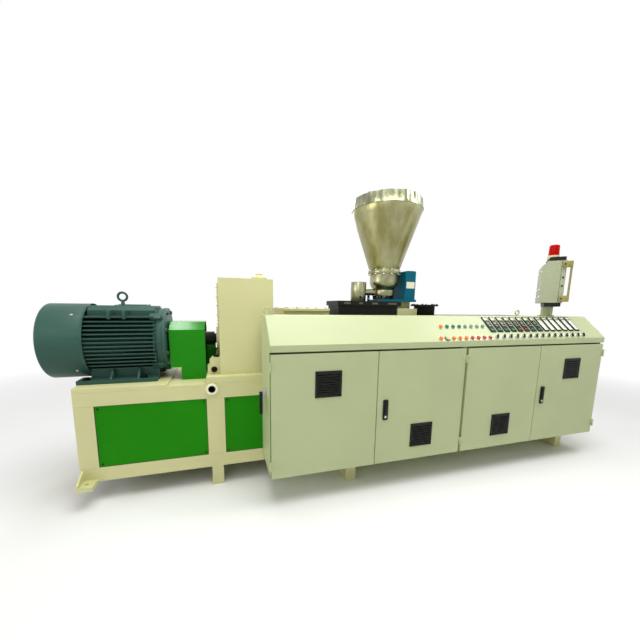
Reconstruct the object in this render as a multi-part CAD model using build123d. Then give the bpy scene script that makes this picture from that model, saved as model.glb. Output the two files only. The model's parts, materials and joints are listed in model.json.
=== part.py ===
"""Conical twin-screw extruder of a foam board line, with its side control cabinet.

Frame: +X runs with the melt, from the motor to the die flange. +Y points away from the
operator, +Z up. The origin is on the floor, at the centre of the four anchor holes.
All lengths are in millimetres.
"""
import os
from math import atan2, cos, degrees, pi, sin, sqrt, tan

from build123d import *

# Cutting tools run past the faces that they open by this much.
overrun = 5.0

# Base frame: two ladder sides of rails and posts, a deck and two end plates.
window_count = 5
window_length = 684.0
window_low = 237.0
window_high = 655.0
post_width = 120.0
end_post_width = 111.0
base_width = 680.0
base_low = 142.0
deck_top = 763.0
deck_thickness = 16.0
motor_bed_height = 14.0
motor_bed_length = 551.0
rail_depth = 60.0
end_plate_thickness = 12.0
panel_thickness = 4.0
panel_recess = 6.0

# Lifting holes through the top rails, with a welded collar on each outer face.
lifting_hole_radius = 26.0
lifting_collar_radius = 41.0
lifting_collar_height = 14.0
lifting_hole_from_post = 38.0
lifting_hole_drop = 38.0

# Feet: blocks with stud holes under the inner posts, and gusseted brackets at the corners.
foot_length = 80.0
stud_hole_radius = 10.0
stud_hole_depth = 60.0
bracket_from_end = 8.0
bracket_width = 90.0
bracket_reach = 100.0
bracket_thickness = 26.0
bracket_drop = 8.0
bracket_gusset = 14.0
bracket_gusset_rise = 68.0
bracket_gusset_lip = 18.0
bracket_hole_radius = 11.0
bracket_clearance = 2.0

# Beams on the floor that carry the cabinet in front of the base.
beam_width = 80.0
beam_reach = 220.0
beam_place_shares = (0.215, 0.952)

# Motor: finned housing on feet, fan cowl, end shield, terminal box, eye bolt.
shaft_rise = 285.0
motor_overhang = 202.0
cowl_length = 255.0
cowl_radius = 257.0
cowl_sheet = 3.0
cowl_round = 12.0
cowl_lap = 60.0
grille_radius = 168.0
grille_slot_count = 9
grille_slot_height = 14.0
housing_length = 420.0
housing_radius = 205.0
fin_radius = 246.0
fin_count = 14
fin_thickness = 9.0
fin_low = -184.0
fin_high = 167.0
turret_half_width = 142.0
turret_top_half_width = 104.0
turret_low = 167.0
turret_shoulder = 214.0
turret_top = 246.0
turret_end_gap = 8.0
ledge_half_width = 202.0
ledge_thickness = 11.0
rib_shares = (0.345, 0.567)
rib_thickness = 26.0
rib_half_width = 188.0
housing_ring = 16.0
housing_ring_radius = 232.0
ear_length = 34.0
ear_width = 46.0
ear_radius = 252.0
motor_foot_length = 479.0
motor_foot_half_width = 245.0
motor_foot_width = 120.0
motor_foot_thickness = 27.0
motor_web_thickness = 30.0
motor_gusset_thickness = 14.0
motor_gusset_shares = (0.33, 0.72)
motor_gusset_top_half_width = 178.0
shield_thickness = 65.0
shield_radius = 228.0
shield_step_radius = 190.0
shield_step = 22.0
shield_hub_radius = 105.0
shield_hub_length = 10.0
terminal_box_length = 230.0
terminal_box_height = 190.0
terminal_box_depth = 112.0
terminal_lid = 8.0
terminal_lid_lip = 5.0
terminal_box_from_left = 60.0
terminal_box_rise = 60.0
terminal_pad_inset = 20.0
eye_major_radius = 29.0
eye_minor_radius = 8.0
eye_shank_radius = 17.0
eye_shank_height = 34.0
eye_share = 0.44

# Drive coupling, turning in the end shield and the gearbox, and its sheet guard.
shaft_radius = 37.5
shaft_clearance = 0.06
shaft_engagement = 40.0
coupling_radius = 100.0
coupling_length = 150.0
coupling_from_shield = 60.0
hub_end_gap = 14.0
hub_radius = 52.0
guard_left_gap = 4.0
guard_length = 242.0
guard_half_width = 172.0
guard_side_height = 364.0
guard_height = 418.0
guard_top_half_width = 90.0
guard_sheet = 3.0
guard_notch_length = 71.0
guard_notch_height = 92.0
guard_tail_length = 70.0
guard_tail_inset = 22.0
guard_tail_gap = 5.0
guard_tail_drop = 50.0

# Gearbox: reducer on its bed, and the lower distribution box towards the barrel.
bed_from_guard = 4.0
bed_height = 47.0
gearbox_from_guard = 101.0
gearbox_length = 384.0
gearbox_half_width = 285.0
gearbox_height = 684.0
gearbox_edge = 4.0
input_cover_radius = 90.0
input_cover_length = 22.0
lug_length = 88.0
lug_width = 90.0
lug_height = 120.0
lug_step_height = 62.0
lug_top_length = 74.0
lug_corner = 18.0
lug_from_face = 40.0
breather_length = 124.0
breather_width = 90.0
breather_plate = 12.0
breather_radius = 42.0
breather_height = 50.0
breather_round = 16.0
breather_from_right = 66.0
neck_length = 88.0
neck_half_width = 170.0
neck_height = 380.0
distribution_half_width = 240.0
distribution_length = 365.0
distribution_height = 480.0
distribution_flange = 22.0
distribution_flange_lip = 14.0

# Barrel casing behind the cabinet, and the die flange at its end.
casing_from_base_end = 99.0
casing_half_width = 230.0
casing_height = 473.0
casing_section_count = 4
casing_groove_width = 5.0
casing_groove_depth = 4.0
barrel_rise = 247.0
die_flange_radius = 150.0
die_flange_thickness = 45.0
die_neck_radius = 110.0
die_neck_length = 54.0
die_bolt_circle = 240.0
die_bolt_count = 8
die_bolt_hole_radius = 9.0
screw_bore_radius = 44.0
screw_centre_distance = 68.0
screw_bore_depth = 90.0

# Feed platform on the casing, with the vent port and the feeder's support block.
platform_from_casing = 109.0
platform_length = 576.0
platform_half_width = 165.0
platform_rear_half_width = 92.0
platform_height = 119.0
platform_flange = 40.0
platform_lip = 14.0
support_half_width = 60.0
support_step_half_width = 175.0
support_step_lap = 28.0
support_step_height = 60.0
vent_from_feeder = 104.0
vent_offset = 130.0
vent_radius = 90.0
vent_flange_radius = 119.0
vent_flange = 14.0
vent_rise = 97.0
vent_bore_radius = 58.0
vent_bore_depth = 80.0

# Feeder: base plate, throat, bowl, hopper, small drive on its left, gear column.
hopper_from_platform = 496.0
feeder_plate_from_hopper = 78.0
feeder_plate_half_width = 150.0
feeder_plate = 20.0
throat_radius = 70.0
throat_height = 82.0
throat_flange_radius = 98.0
throat_flange = 50.0
bowl_seat = 16.0
bowl_radius = 124.0
bowl_height = 156.0
bowl_sheet = 4.0
bowl_round = 92.0
hopper_flange_radius = 142.0
hopper_flange = 30.0
hopper_sheet = 3.0
hopper_low_radius = 128.0
hopper_radius = 303.0
cone_height = 503.0
collar_height = 92.0
collar_sheet = 3.0
collar_taper = 6.0
feeder_motor_from_hopper = 247.0
feeder_motor_radius = 67.0
feeder_motor_height = 166.0
feeder_tube_radius = 28.0
feeder_tube_height = 82.0
column_length = 102.0
column_half_width = 125.0
column_height = 250.0
column_gap = 5.0
column_round = 14.0

# Control cabinet: walls, doors in pairs, sloped console.
cabinet_from_base_end = 1183.0
door_pitch = 735.0
door_count = 4
cabinet_low = 199.0
cabinet_depth = 385.0
cabinet_sheet = 2.5
door_thickness = 22.0
door_sheet = 2.5
door_height = 811.5
door_gap = 6.0
door_body_gap = 5.0
door_head_gap = 12.0
fascia_height = 42.0
console_rise = 176.0
console_depth = 185.0
centre_post_width = 60.0
centre_post_depth = 40.0

# Door hinges: the lower knuckle and arm stay on the cabinet, the upper goes with the door.
hinge_out = 6.0
hinge_forward = 7.0
knuckle_radius = 5.0
knuckle_length = 30.0
knuckle_gap = 0.3
hinge_pin_radius = 2.4
hinge_pin_bore = 2.7
hinge_pin_length = 20.0
hinge_arm = 3.0
hinge_arm_lap = 45.0
hinge_leaf_length = 28.0
hinge_leaf = 3.0
hinge_from_low = 90.0
hinge_from_high = 80.0

# Louvred vents and swing latches on the doors.
vent_width = 182.0
vent_height = 174.0
vent_proud = 6.0
vent_border = 12.0
vent_slat_count = 9
vent_slat_share = 0.55
vent_shift = 10.0
vent_low_shares = (0.642, 0.12, 0.12, 0.642)
latch_width = 37.0
latch_height = 145.0
latch_proud = 9.0
latch_low_share = 0.4
latch_from_edge = 45.0
latch_round = 8.0

# Isolator switch on the cabinet's left wall.
isolator_depth_share = 0.55
isolator_rise = 529.0
isolator_boss_radius = 32.0
isolator_boss_length = 26.0
isolator_gap = 0.3
isolator_lever_length = 140.0
isolator_lever_width = 26.0
isolator_lever_thickness = 20.0

# Console instruments, measured along X and up the slope.
lamp_radius = 12.0
lamp_height = 11.0
lamp_bezel_radius = 15.5
lamp_bezel_height = 3.5
lamp_pitch = 55.8
lamp_rise_shares = (0.555, 0.104)
lamp_counts = (8, 9)
lamp_last_share = 0.573
meter_count = 14
meter_width = 50.0
meter_height = 158.0
meter_proud = 8.0
meter_pitch = 70.8
meter_first_share = 0.5983
meter_rise_share = 0.632
knob_count = 15
knob_pitch = 67.0
knob_first_share = 0.5963
knob_rise_share = 0.115
knob_radius = 13.0
knob_plate_height = 4.0
knob_grip_length = 26.0
knob_grip_width = 8.0
knob_grip_height = 14.0

# Operator panel on a swivel post, turned towards the die end, with a beacon on top.
hmi_from_right = 340.0
hmi_from_back = 100.0
hmi_turn = 41.0
post_radius = 45.0
post_base_radius = 64.0
post_base_height = 10.0
swivel_gap = 0.3
hmi_rise = 119.0
hmi_width = 380.0
hmi_depth = 165.0
hmi_height = 352.0
hmi_chamfer = 38.0
hmi_cap = 32.0
hmi_cap_inset = 6.0
hmi_cap_round = 22.0
hmi_bezel = 14.0
hmi_bezel_depth = 6.0
handle_reach = 56.0
handle_lap = 34.0
handle_thickness = 24.0
handle_radius = 11.0
handle_block = 58.0
handle_inset = 4.0
beacon_radius = 45.0
beacon_base_height = 34.0
beacon_height = 92.0
beacon_round = 12.0
beacon_gap_share = 0.9

# Lifting eyes on the cabinet's top.
cabinet_eye_major = 20.0
cabinet_eye_minor = 6.0
cabinet_eye_shank = 9.0
cabinet_eye_shank_height = 10.0
cabinet_eye_from_left = 26.0
cabinet_eye_from_right = 687.0
cabinet_eye_from_back = 96.0

# Places that follow from the sizes above.
base_length = (2 * end_post_width + window_count * window_length
               + (window_count - 1) * post_width)
base_left = -base_length / 2
base_right = base_length / 2
front = -base_width / 2
rail_top = deck_top - deck_thickness
bed_top = deck_top + bed_height
motor_bed_top = deck_top + motor_bed_height
shaft_height = deck_top + shaft_rise
motor_left = base_left - motor_overhang
cowl_right = motor_left + cowl_length
housing_right = cowl_right + housing_length
shield_right = housing_right + shield_thickness
shield_hub_right = shield_right + shield_hub_length
coupling_left = shield_hub_right + coupling_from_shield
coupling_right = coupling_left + coupling_length
guard_left = shield_hub_right + guard_left_gap
guard_right = guard_left + guard_length
guard_shoulder = deck_top + guard_side_height
guard_top = deck_top + guard_height
guard_angle = atan2(guard_height - guard_side_height, guard_half_width - guard_top_half_width)
bed_left = guard_right + bed_from_guard
gearbox_left = guard_right + gearbox_from_guard
gearbox_right = gearbox_left + gearbox_length
gearbox_top = bed_top + gearbox_height
distribution_left = gearbox_right + neck_length
distribution_right = distribution_left + distribution_length
distribution_top = bed_top + distribution_height
casing_left = distribution_right
casing_right = base_right - casing_from_base_end
casing_top = deck_top + casing_height
barrel_height = deck_top + barrel_rise
platform_left = casing_left + platform_from_casing
platform_right = platform_left + platform_length
platform_top = casing_top + platform_height
feeder_plate_top = platform_top + feeder_plate
hopper_x = platform_left + hopper_from_platform
feeder_motor_x = hopper_x - feeder_motor_from_hopper
feeder_plate_left = hopper_x - feeder_plate_from_hopper
column_left = hopper_x + hopper_flange_radius + column_gap
feeder_plate_right = column_left + column_length
throat_top = feeder_plate_top + throat_height
bowl_low = throat_top - bowl_seat
bowl_top = bowl_low + bowl_height
hopper_flange_top = bowl_top + hopper_flange
cone_top = hopper_flange_top + cone_height
hopper_top = cone_top + collar_height
vent_x = feeder_plate_right + vent_from_feeder
vent_top = casing_top + vent_rise
cabinet_left = base_left + cabinet_from_base_end
cabinet_length = door_count * door_pitch
cabinet_right = cabinet_left + cabinet_length
cabinet_middle = (cabinet_left + cabinet_right) / 2
cabinet_back = front
cabinet_face = cabinet_back - cabinet_depth
cabinet_body_face = cabinet_face + door_thickness + door_body_gap
slope_angle = atan2(console_rise, console_depth)
door_edge_gap = hinge_out - hinge_arm / 2
door_low = cabinet_low + cabinet_sheet
door_top = door_low + door_height
fascia_low = door_top + door_head_gap
fascia_top = fascia_low + fascia_height
console_top = fascia_top + console_rise
hinge_y = cabinet_face - hinge_forward
isolator_height = cabinet_low + isolator_rise
hmi_x = cabinet_right - hmi_from_right
hmi_y = cabinet_back - hmi_from_back
hmi_low = console_top + hmi_rise


def slab(x0, x1, y0, y1, z0, z1):
    """A box between two corners."""
    centre = Pos((x0 + x1) / 2, (y0 + y1) / 2, (z0 + z1) / 2)
    return centre * Box(x1 - x0, y1 - y0, z1 - z0)


def rod_x(x0, x1, radius, y, z):
    """A round bar along X."""
    return Pos((x0 + x1) / 2, y, z) * Rot(0, 90, 0) * Cylinder(radius, x1 - x0)


def rod_y(y0, y1, radius, x, z):
    """A round bar along Y."""
    return Pos(x, (y0 + y1) / 2, z) * Rot(90, 0, 0) * Cylinder(radius, y1 - y0)


def rod_z(z0, z1, radius, x, y):
    """A round bar along Z."""
    return Pos(x, y, (z0 + z1) / 2) * Cylinder(radius, z1 - z0)


def turned_x(points, z):
    """A solid of revolution about the X direction at height z, from (x, radius) points."""
    outline = make_face(Polyline(*[(x, r) for x, r in points], close=True))
    return Pos(0, 0, z) * revolve(outline, Axis.X, 360)


def turned_z(points, x):
    """A solid of revolution about the vertical at x, from (radius, z) points."""
    outline = make_face(Polyline(*[(r, 0, z) for r, z in points], close=True))
    return Pos(x, 0, 0) * revolve(outline, Axis.Z, 360)


def prism_x(points, x0, x1):
    """A (y, z) outline carried along X from x0 to x1."""
    outline = make_face(Polyline(*[(0, y, z) for y, z in points], close=True))
    return Pos(x0, 0, 0) * extrude(outline, amount=x1 - x0, dir=(1, 0, 0))


def both_sides(piece):
    """The piece and its mirror image across the machine's centre plane."""
    return [piece, mirror(piece, Plane.XZ)]


def window_spans():
    """The left and right edges of each window in the base."""
    pitch = window_length + post_width
    first = base_left + end_post_width
    return [(first + i * pitch, first + i * pitch + window_length) for i in range(window_count)]


def make_base():
    nodes = {}
    lift_x = base_left + end_post_width + window_length + lifting_hole_from_post
    lift_z = deck_top - lifting_hole_drop
    low_rail = slab(base_left, base_right, front, front + rail_depth, base_low, window_low)
    top_rail = slab(base_left, base_right, front, front + rail_depth, window_high, rail_top)
    top_rail += rod_y(front - lifting_collar_height, front, lifting_collar_radius, lift_x, lift_z)
    top_rail -= rod_y(front - lifting_collar_height - overrun, front + rail_depth + overrun,
                      lifting_hole_radius, lift_x, lift_z)
    nodes["frame_rails"] = both_sides(low_rail) + both_sides(top_rail)

    spans = window_spans()
    post_edges = [base_left] + [edge for span in spans for edge in span] + [base_right]
    posts = []
    for left, right in zip(post_edges[0::2], post_edges[1::2]):
        post = slab(left, right, front, front + rail_depth, window_low, window_high)
        posts += both_sides(post)
    nodes["frame_posts"] = posts

    deck = slab(base_left, base_right, front, -front, rail_top, deck_top)
    deck += slab(base_left, base_left + motor_bed_length, front, -front, deck_top, motor_bed_top)
    nodes["frame_deck"] = deck
    inner = front + rail_depth
    left_end = slab(base_left, base_left + end_plate_thickness, inner, -inner, base_low, rail_top)
    nodes["frame_end_plates"] = [left_end, mirror(left_end, Plane.YZ)]

    panel_face = front + panel_recess
    panels = []
    for left, right in spans:
        panel = slab(left, right, panel_face, panel_face + panel_thickness, window_low, window_high)
        panels += both_sides(panel)
    nodes["side_panels"] = panels

    feet = make_corner_brackets()
    for left, right in zip(post_edges[2:-2:2], post_edges[3:-2:2]):
        middle = (left + right) / 2
        block = slab(middle - foot_length / 2, middle + foot_length / 2,
                     front, front + rail_depth, 0, base_low)
        block -= rod_z(-overrun, stud_hole_depth, stud_hole_radius, middle, front + rail_depth / 2)
        feet += both_sides(block)
    nodes["floor_feet"] = feet
    return nodes


def make_corner_brackets():
    """A plate standing out from each side at the corner, with a hole and a gusset at its outer end."""
    left = base_left + bracket_from_end
    right = left + bracket_width
    outer = front - bracket_reach
    low = base_low - bracket_drop
    high = low + bracket_thickness
    bracket = slab(left, right, outer, front, low, high)
    gusset = [(outer, high), (outer, high + bracket_gusset_lip),
              (front, high + bracket_gusset_rise), (front, high)]
    bracket += prism_x(gusset, left, left + bracket_gusset)
    bracket -= rod_z(low - overrun, high + overrun, bracket_hole_radius,
                     (left + right) / 2, (outer + front) / 2)
    left_pair = both_sides(bracket)
    front_right, rear_right = [mirror(piece, Plane.YZ) for piece in left_pair]
    cabinet = slab(cabinet_left - bracket_clearance, cabinet_right + bracket_clearance,
                   cabinet_face, front, cabinet_low - bracket_clearance, console_top)
    return left_pair + [front_right - cabinet, rear_right]


def make_cabinet_beams():
    """Beams on the floor under the cabinet, welded to the base's lower rail."""
    beams = []
    for share in beam_place_shares:
        middle = cabinet_left + share * cabinet_length
        beams.append(slab(middle - beam_width / 2, middle + beam_width / 2,
                          front - beam_reach, front, 0, cabinet_low))
    return {"cabinet_beams": beams}


def make_motor():
    nodes = {}
    nodes["motor_housing"] = make_motor_housing()

    cup = rod_x(motor_left, cowl_right, cowl_radius, 0, shaft_height)
    cup = fillet(cup.edges().group_by(Axis.X)[0], cowl_round)
    hollow = rod_x(motor_left + cowl_sheet, cowl_right + overrun, cowl_radius - cowl_sheet, 0, shaft_height)
    hollow = fillet(hollow.edges().group_by(Axis.X)[0], cowl_round - cowl_sheet)
    nodes["motor_fan_cowl"] = cup - hollow - make_grille()

    shield_points = [
        (housing_right, shaft_radius + shaft_clearance), (housing_right, shield_radius),
        (shield_right - shield_step, shield_radius), (shield_right, shield_step_radius),
        (shield_right, shield_hub_radius), (shield_hub_right, shield_hub_radius),
        (shield_hub_right, shaft_radius + shaft_clearance)]
    shield = turned_x(shield_points, shaft_height)
    for ear in motor_ears(housing_right, housing_right + ear_length, shield_step_radius):
        shield += ear
    nodes["motor_end_shield"] = shield

    box_left = cowl_right + terminal_box_from_left
    box_low = shaft_height + terminal_box_rise
    lid_face = fin_radius + terminal_box_depth
    box = slab(box_left, box_left + terminal_box_length, fin_radius, lid_face,
               box_low, box_low + terminal_box_height)
    box += slab(box_left - terminal_lid_lip, box_left + terminal_box_length + terminal_lid_lip,
                lid_face, lid_face + terminal_lid,
                box_low - terminal_lid_lip, box_low + terminal_box_height + terminal_lid_lip)
    nodes["motor_terminal_box"] = box

    eye_x = cowl_right + eye_share * housing_length
    nodes["motor_eye_bolt"] = eye_bolt(eye_x, 0, shaft_height + turret_top, eye_shank_radius,
                                       eye_shank_height, eye_major_radius, eye_minor_radius)
    return nodes


def make_motor_housing():
    """Finned barrel with a flat-topped turret, bolting ears, a terminal box pad and two feet."""
    housing = rod_x(cowl_right - cowl_lap, housing_right, housing_radius, 0, shaft_height)
    housing += rod_x(housing_right - housing_ring, housing_right, housing_ring_radius, 0, shaft_height)
    pitch = (fin_high - fin_low) / (fin_count - 1)
    for i in range(fin_count):
        level = fin_low + i * pitch
        reach = sqrt(fin_radius ** 2 - level ** 2)
        housing += slab(cowl_right - cowl_lap, housing_right, -reach, reach,
                        shaft_height + level - fin_thickness / 2,
                        shaft_height + level + fin_thickness / 2)

    outline = [(-turret_half_width, turret_low), (-turret_half_width, turret_shoulder),
               (-turret_top_half_width, turret_top), (turret_top_half_width, turret_top),
               (turret_half_width, turret_shoulder), (turret_half_width, turret_low)]
    turret = prism_x(outline, cowl_right + turret_end_gap, housing_right - turret_end_gap)
    turret += slab(cowl_right + turret_end_gap, housing_right - turret_end_gap,
                   -ledge_half_width, ledge_half_width, turret_low, turret_low + ledge_thickness)
    for share in rib_shares:
        x = cowl_right + share * housing_length
        turret += slab(x - rib_thickness / 2, x + rib_thickness / 2, -rib_half_width, rib_half_width,
                       turret_low, turret_shoulder)
    housing += Pos(0, 0, shaft_height) * turret
    for ear in motor_ears(housing_right - ear_length, housing_right, housing_radius):
        housing += ear

    box_left = cowl_right + terminal_box_from_left
    box_low = shaft_height + terminal_box_rise
    housing += slab(box_left + terminal_pad_inset, box_left + terminal_box_length - terminal_pad_inset,
                    0, fin_radius, box_low + terminal_pad_inset,
                    box_low + terminal_box_height - terminal_pad_inset)
    return housing + make_motor_feet()


def make_motor_feet():
    """Foot plates with upright webs and sloping gussets."""
    foot_left = housing_right - motor_foot_length
    plate_top = motor_bed_top + motor_foot_thickness
    web_top = shaft_height + fin_low
    web_inner = motor_foot_half_width - motor_foot_width
    web_outer = web_inner + motor_web_thickness
    plate = slab(foot_left, housing_right, web_inner, motor_foot_half_width, motor_bed_top, plate_top)
    plate += slab(cowl_right, housing_right, web_inner, web_outer, motor_bed_top, web_top)
    gusset = [(web_inner, motor_bed_top), (motor_foot_half_width, motor_bed_top),
              (motor_foot_half_width, plate_top), (motor_gusset_top_half_width, web_top),
              (web_inner, web_top)]
    for share in motor_gusset_shares:
        x = cowl_right + share * housing_length
        plate += prism_x(gusset, x - motor_gusset_thickness / 2, x + motor_gusset_thickness / 2)
    return Compound(children=both_sides(plate))


def motor_ears(x0, x1, inner):
    """Four blocks on the diagonals, where the end shield is bolted to the housing."""
    ear = slab(x0, x1, -ear_width / 2, ear_width / 2, inner, ear_radius)
    turns = [pi / 4 + i * pi / 2 for i in range(4)]
    return [Pos(0, 0, shaft_height) * Rot(degrees(turn), 0, 0) * ear for turn in turns]


def make_grille():
    """Level air slots through the cowl's end, within a circle."""
    pitch = 2 * grille_radius / grille_slot_count
    slots = []
    for i in range(grille_slot_count):
        level = -grille_radius + (i + 1 / 2) * pitch
        reach = sqrt(grille_radius ** 2 - level ** 2)
        slots.append(slab(motor_left - overrun, motor_left + cowl_sheet + overrun, -reach, reach,
                          shaft_height + level - grille_slot_height / 2,
                          shaft_height + level + grille_slot_height / 2))
    return slots


def eye_bolt(x, y, z, shank_radius, shank_height, major, minor):
    """A ring standing across Y on a tapered collar."""
    collar = Pos(x, y, z + shank_height / 2) * Cone(shank_radius, minor, shank_height)
    ring = Pos(x, y, z + shank_height + major) * Rot(90, 0, 0) * Torus(major, minor)
    return collar + ring


def make_coupling():
    nodes = {}
    shaft_left = housing_right + shield_thickness - shaft_engagement
    shaft_right = gearbox_left + shaft_engagement
    cover_left = gearbox_left - input_cover_length
    points = [
        (shaft_left, 0), (shaft_left, shaft_radius), (coupling_left, shaft_radius),
        (coupling_left, coupling_radius), (coupling_right, coupling_radius),
        (coupling_right, hub_radius), (cover_left - hub_end_gap, hub_radius),
        (cover_left - hub_end_gap, shaft_radius), (shaft_right, shaft_radius), (shaft_right, 0)]
    nodes["drive_coupling"] = turned_x(points, shaft_height)

    outer = guard_outline(0)
    inner = guard_outline(guard_sheet)
    guard = prism_x(outer, guard_left, guard_right)
    guard -= prism_x(inner, guard_left - overrun, guard_right + overrun)
    guard -= slab(guard_left - overrun, guard_left + guard_notch_length,
                  -guard_half_width - overrun, guard_half_width + overrun,
                  deck_top - overrun, deck_top + guard_notch_height)
    # At the rear a narrower sheet goes on towards the gearbox, below the shaft.
    tail_face = guard_half_width - guard_tail_inset
    tail_low = bed_top + guard_tail_gap
    tail_high = shaft_height - guard_tail_drop
    guard += slab(guard_right - guard_sheet, guard_right, tail_face - guard_sheet,
                  guard_half_width - guard_sheet, tail_low, tail_high)
    guard += slab(guard_right - guard_sheet, guard_right + guard_tail_length, tail_face - guard_sheet,
                  tail_face, tail_low, tail_high)
    nodes["coupling_guard"] = guard
    return nodes


def guard_outline(inset):
    """Half-open hood section: upright sides, chamfered shoulders, flat top."""
    wide = guard_half_width - inset
    narrow = guard_top_half_width - inset * tan(guard_angle / 2)
    low = deck_top - (overrun if inset else 0)
    shoulder = guard_shoulder - inset * tan(pi / 4 - guard_angle / 2)
    return [(-wide, low), (-wide, shoulder), (-narrow, guard_top - inset),
            (narrow, guard_top - inset), (wide, shoulder), (wide, low)]


def make_gearbox():
    nodes = {}
    nodes["gearbox_bed"] = slab(bed_left, distribution_right, front, -front, deck_top, bed_top)
    body = slab(gearbox_left, gearbox_right, -gearbox_half_width, gearbox_half_width, bed_top, gearbox_top)
    body = chamfer(body.edges().filter_by(Axis.Z), gearbox_edge)
    cover_left = gearbox_left - input_cover_length
    body += rod_x(cover_left, gearbox_left, input_cover_radius, 0, shaft_height)
    body -= rod_x(cover_left - overrun, gearbox_left + shaft_engagement + overrun,
                  shaft_radius + shaft_clearance, 0, shaft_height)
    lug_y0 = -gearbox_half_width + lug_from_face
    lug_top = bed_top + lug_height
    upper_left = gearbox_left - lug_top_length
    lug_points = [(gearbox_left, bed_top), (gearbox_left - lug_length, bed_top),
                  (gearbox_left - lug_length, bed_top + lug_step_height),
                  (upper_left, bed_top + lug_step_height), (upper_left, lug_top - lug_corner),
                  (upper_left + lug_corner, lug_top), (gearbox_left, lug_top)]
    outline = make_face(Polyline(*[(x, 0, z) for x, z in lug_points], close=True))
    lug = Pos(0, lug_y0, 0) * extrude(outline, amount=lug_width, dir=(0, 1, 0))
    for piece in both_sides(lug):
        body += piece
    nodes["gearbox_housing"] = body

    cap_x = gearbox_right - breather_from_right
    plate = slab(cap_x - breather_length / 2, cap_x + breather_length / 2,
                 -breather_width / 2, breather_width / 2, gearbox_top, gearbox_top + breather_plate)
    cap = rod_z(gearbox_top + breather_plate, gearbox_top + breather_plate + breather_height,
                breather_radius, cap_x, 0)
    cap = fillet(cap.edges().group_by(Axis.Z)[-1], breather_round)
    nodes["gearbox_breather"] = plate + cap

    neck = slab(gearbox_right, distribution_left, -neck_half_width, neck_half_width,
                bed_top, bed_top + neck_height)
    box = slab(distribution_left, distribution_right, -distribution_half_width, distribution_half_width,
               bed_top, distribution_top)
    lip = distribution_half_width + distribution_flange_lip
    flange = slab(distribution_left, distribution_right, -lip, lip,
                  distribution_top - distribution_flange, distribution_top)
    nodes["distribution_box"] = neck + box + flange
    return nodes


def make_barrel():
    nodes = {}
    casing = slab(casing_left, casing_right, -casing_half_width, casing_half_width, deck_top, casing_top)
    section = (casing_right - casing_left) / casing_section_count
    core_half = casing_half_width - casing_groove_depth
    for i in range(1, casing_section_count):
        x = casing_left + i * section
        groove = slab(x - casing_groove_width / 2, x + casing_groove_width / 2,
                      core_half, casing_half_width + overrun, deck_top - overrun, casing_top + overrun)
        for piece in both_sides(groove):
            casing -= piece
    nodes["barrel_casing"] = casing

    flange_left = casing_right + die_neck_length
    flange_right = flange_left + die_flange_thickness
    head = rod_x(casing_right, flange_left, die_neck_radius, 0, barrel_height)
    head += rod_x(flange_left, flange_right, die_flange_radius, 0, barrel_height)
    for side in (-1, 1):
        head -= rod_x(flange_right - screw_bore_depth, flange_right + overrun, screw_bore_radius,
                      side * screw_centre_distance / 2, barrel_height)
    for i in range(die_bolt_count):
        angle = 2 * pi * (i + 0.5) / die_bolt_count
        head -= rod_x(flange_left - overrun, flange_right + overrun, die_bolt_hole_radius,
                      die_bolt_circle / 2 * cos(angle),
                      barrel_height + die_bolt_circle / 2 * sin(angle))
    nodes["barrel_head"] = head

    platform = slab(platform_left, platform_right - support_step_lap, -platform_half_width,
                    platform_rear_half_width, casing_top, platform_top)
    platform += slab(platform_left - platform_lip, platform_right, -platform_half_width - platform_lip,
                     platform_rear_half_width + platform_lip, platform_top - platform_flange, platform_top)
    nodes["feed_platform"] = platform

    vent = rod_z(casing_top, vent_top, vent_radius, vent_x, -vent_offset)
    vent += rod_z(vent_top - vent_flange, vent_top, vent_flange_radius, vent_x, -vent_offset)
    vent -= rod_z(vent_top - vent_bore_depth, vent_top + overrun, vent_bore_radius, vent_x, -vent_offset)
    nodes["vent_port"] = vent
    return nodes


def make_feeder():
    nodes = {}
    support = slab(platform_right, feeder_plate_right, -support_half_width, support_half_width,
                   casing_top, platform_top)
    support += slab(platform_right - support_step_lap, feeder_plate_right, -support_step_half_width,
                    support_step_half_width, casing_top, casing_top + support_step_height)
    nodes["feeder_support"] = support
    stand = slab(feeder_plate_left, feeder_plate_right, -feeder_plate_half_width,
                 feeder_plate_half_width, platform_top, feeder_plate_top)
    column = slab(column_left, feeder_plate_right, -column_half_width, column_half_width,
                  feeder_plate_top, feeder_plate_top + column_height)
    column = fillet(column.edges().filter_by(Axis.Y).group_by(Axis.Z)[-1], column_round)
    nodes["feeder_stand"] = stand + column

    # The bowl is a round-bottomed pan with a thick rim, open at the top, sunk into the throat.
    outside = round_pan(bowl_low, bowl_top, bowl_radius, bowl_round)
    bowl = outside + rod_z(bowl_top, hopper_flange_top, hopper_flange_radius, hopper_x, 0)
    bowl -= round_pan(bowl_low + bowl_sheet, hopper_flange_top + overrun, bowl_radius - bowl_sheet,
                      bowl_round - bowl_sheet)
    nodes["feeder_bowl"] = bowl

    drive = rod_z(platform_top, platform_top + feeder_motor_height, feeder_motor_radius, feeder_motor_x, 0)
    drive += rod_x(feeder_motor_x, hopper_x, feeder_tube_radius, 0, platform_top + feeder_tube_height)
    drive += rod_z(feeder_plate_top, throat_top, throat_radius, hopper_x, 0)
    drive += rod_z(throat_top - throat_flange, throat_top, throat_flange_radius, hopper_x, 0)
    nodes["feeder_drive"] = drive - outside

    nodes["hopper_cone"] = turned_z(
        [(hopper_low_radius, hopper_flange_top), (hopper_low_radius + hopper_sheet, hopper_flange_top),
         (hopper_radius, cone_top), (hopper_radius - hopper_sheet, cone_top)], hopper_x)
    nodes["hopper_collar"] = turned_z(
        [(hopper_radius - hopper_sheet, cone_top), (hopper_radius + collar_sheet, cone_top),
         (hopper_radius + collar_sheet - collar_taper, hopper_top),
         (hopper_radius - hopper_sheet - collar_taper, hopper_top)], hopper_x)
    return nodes


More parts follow.
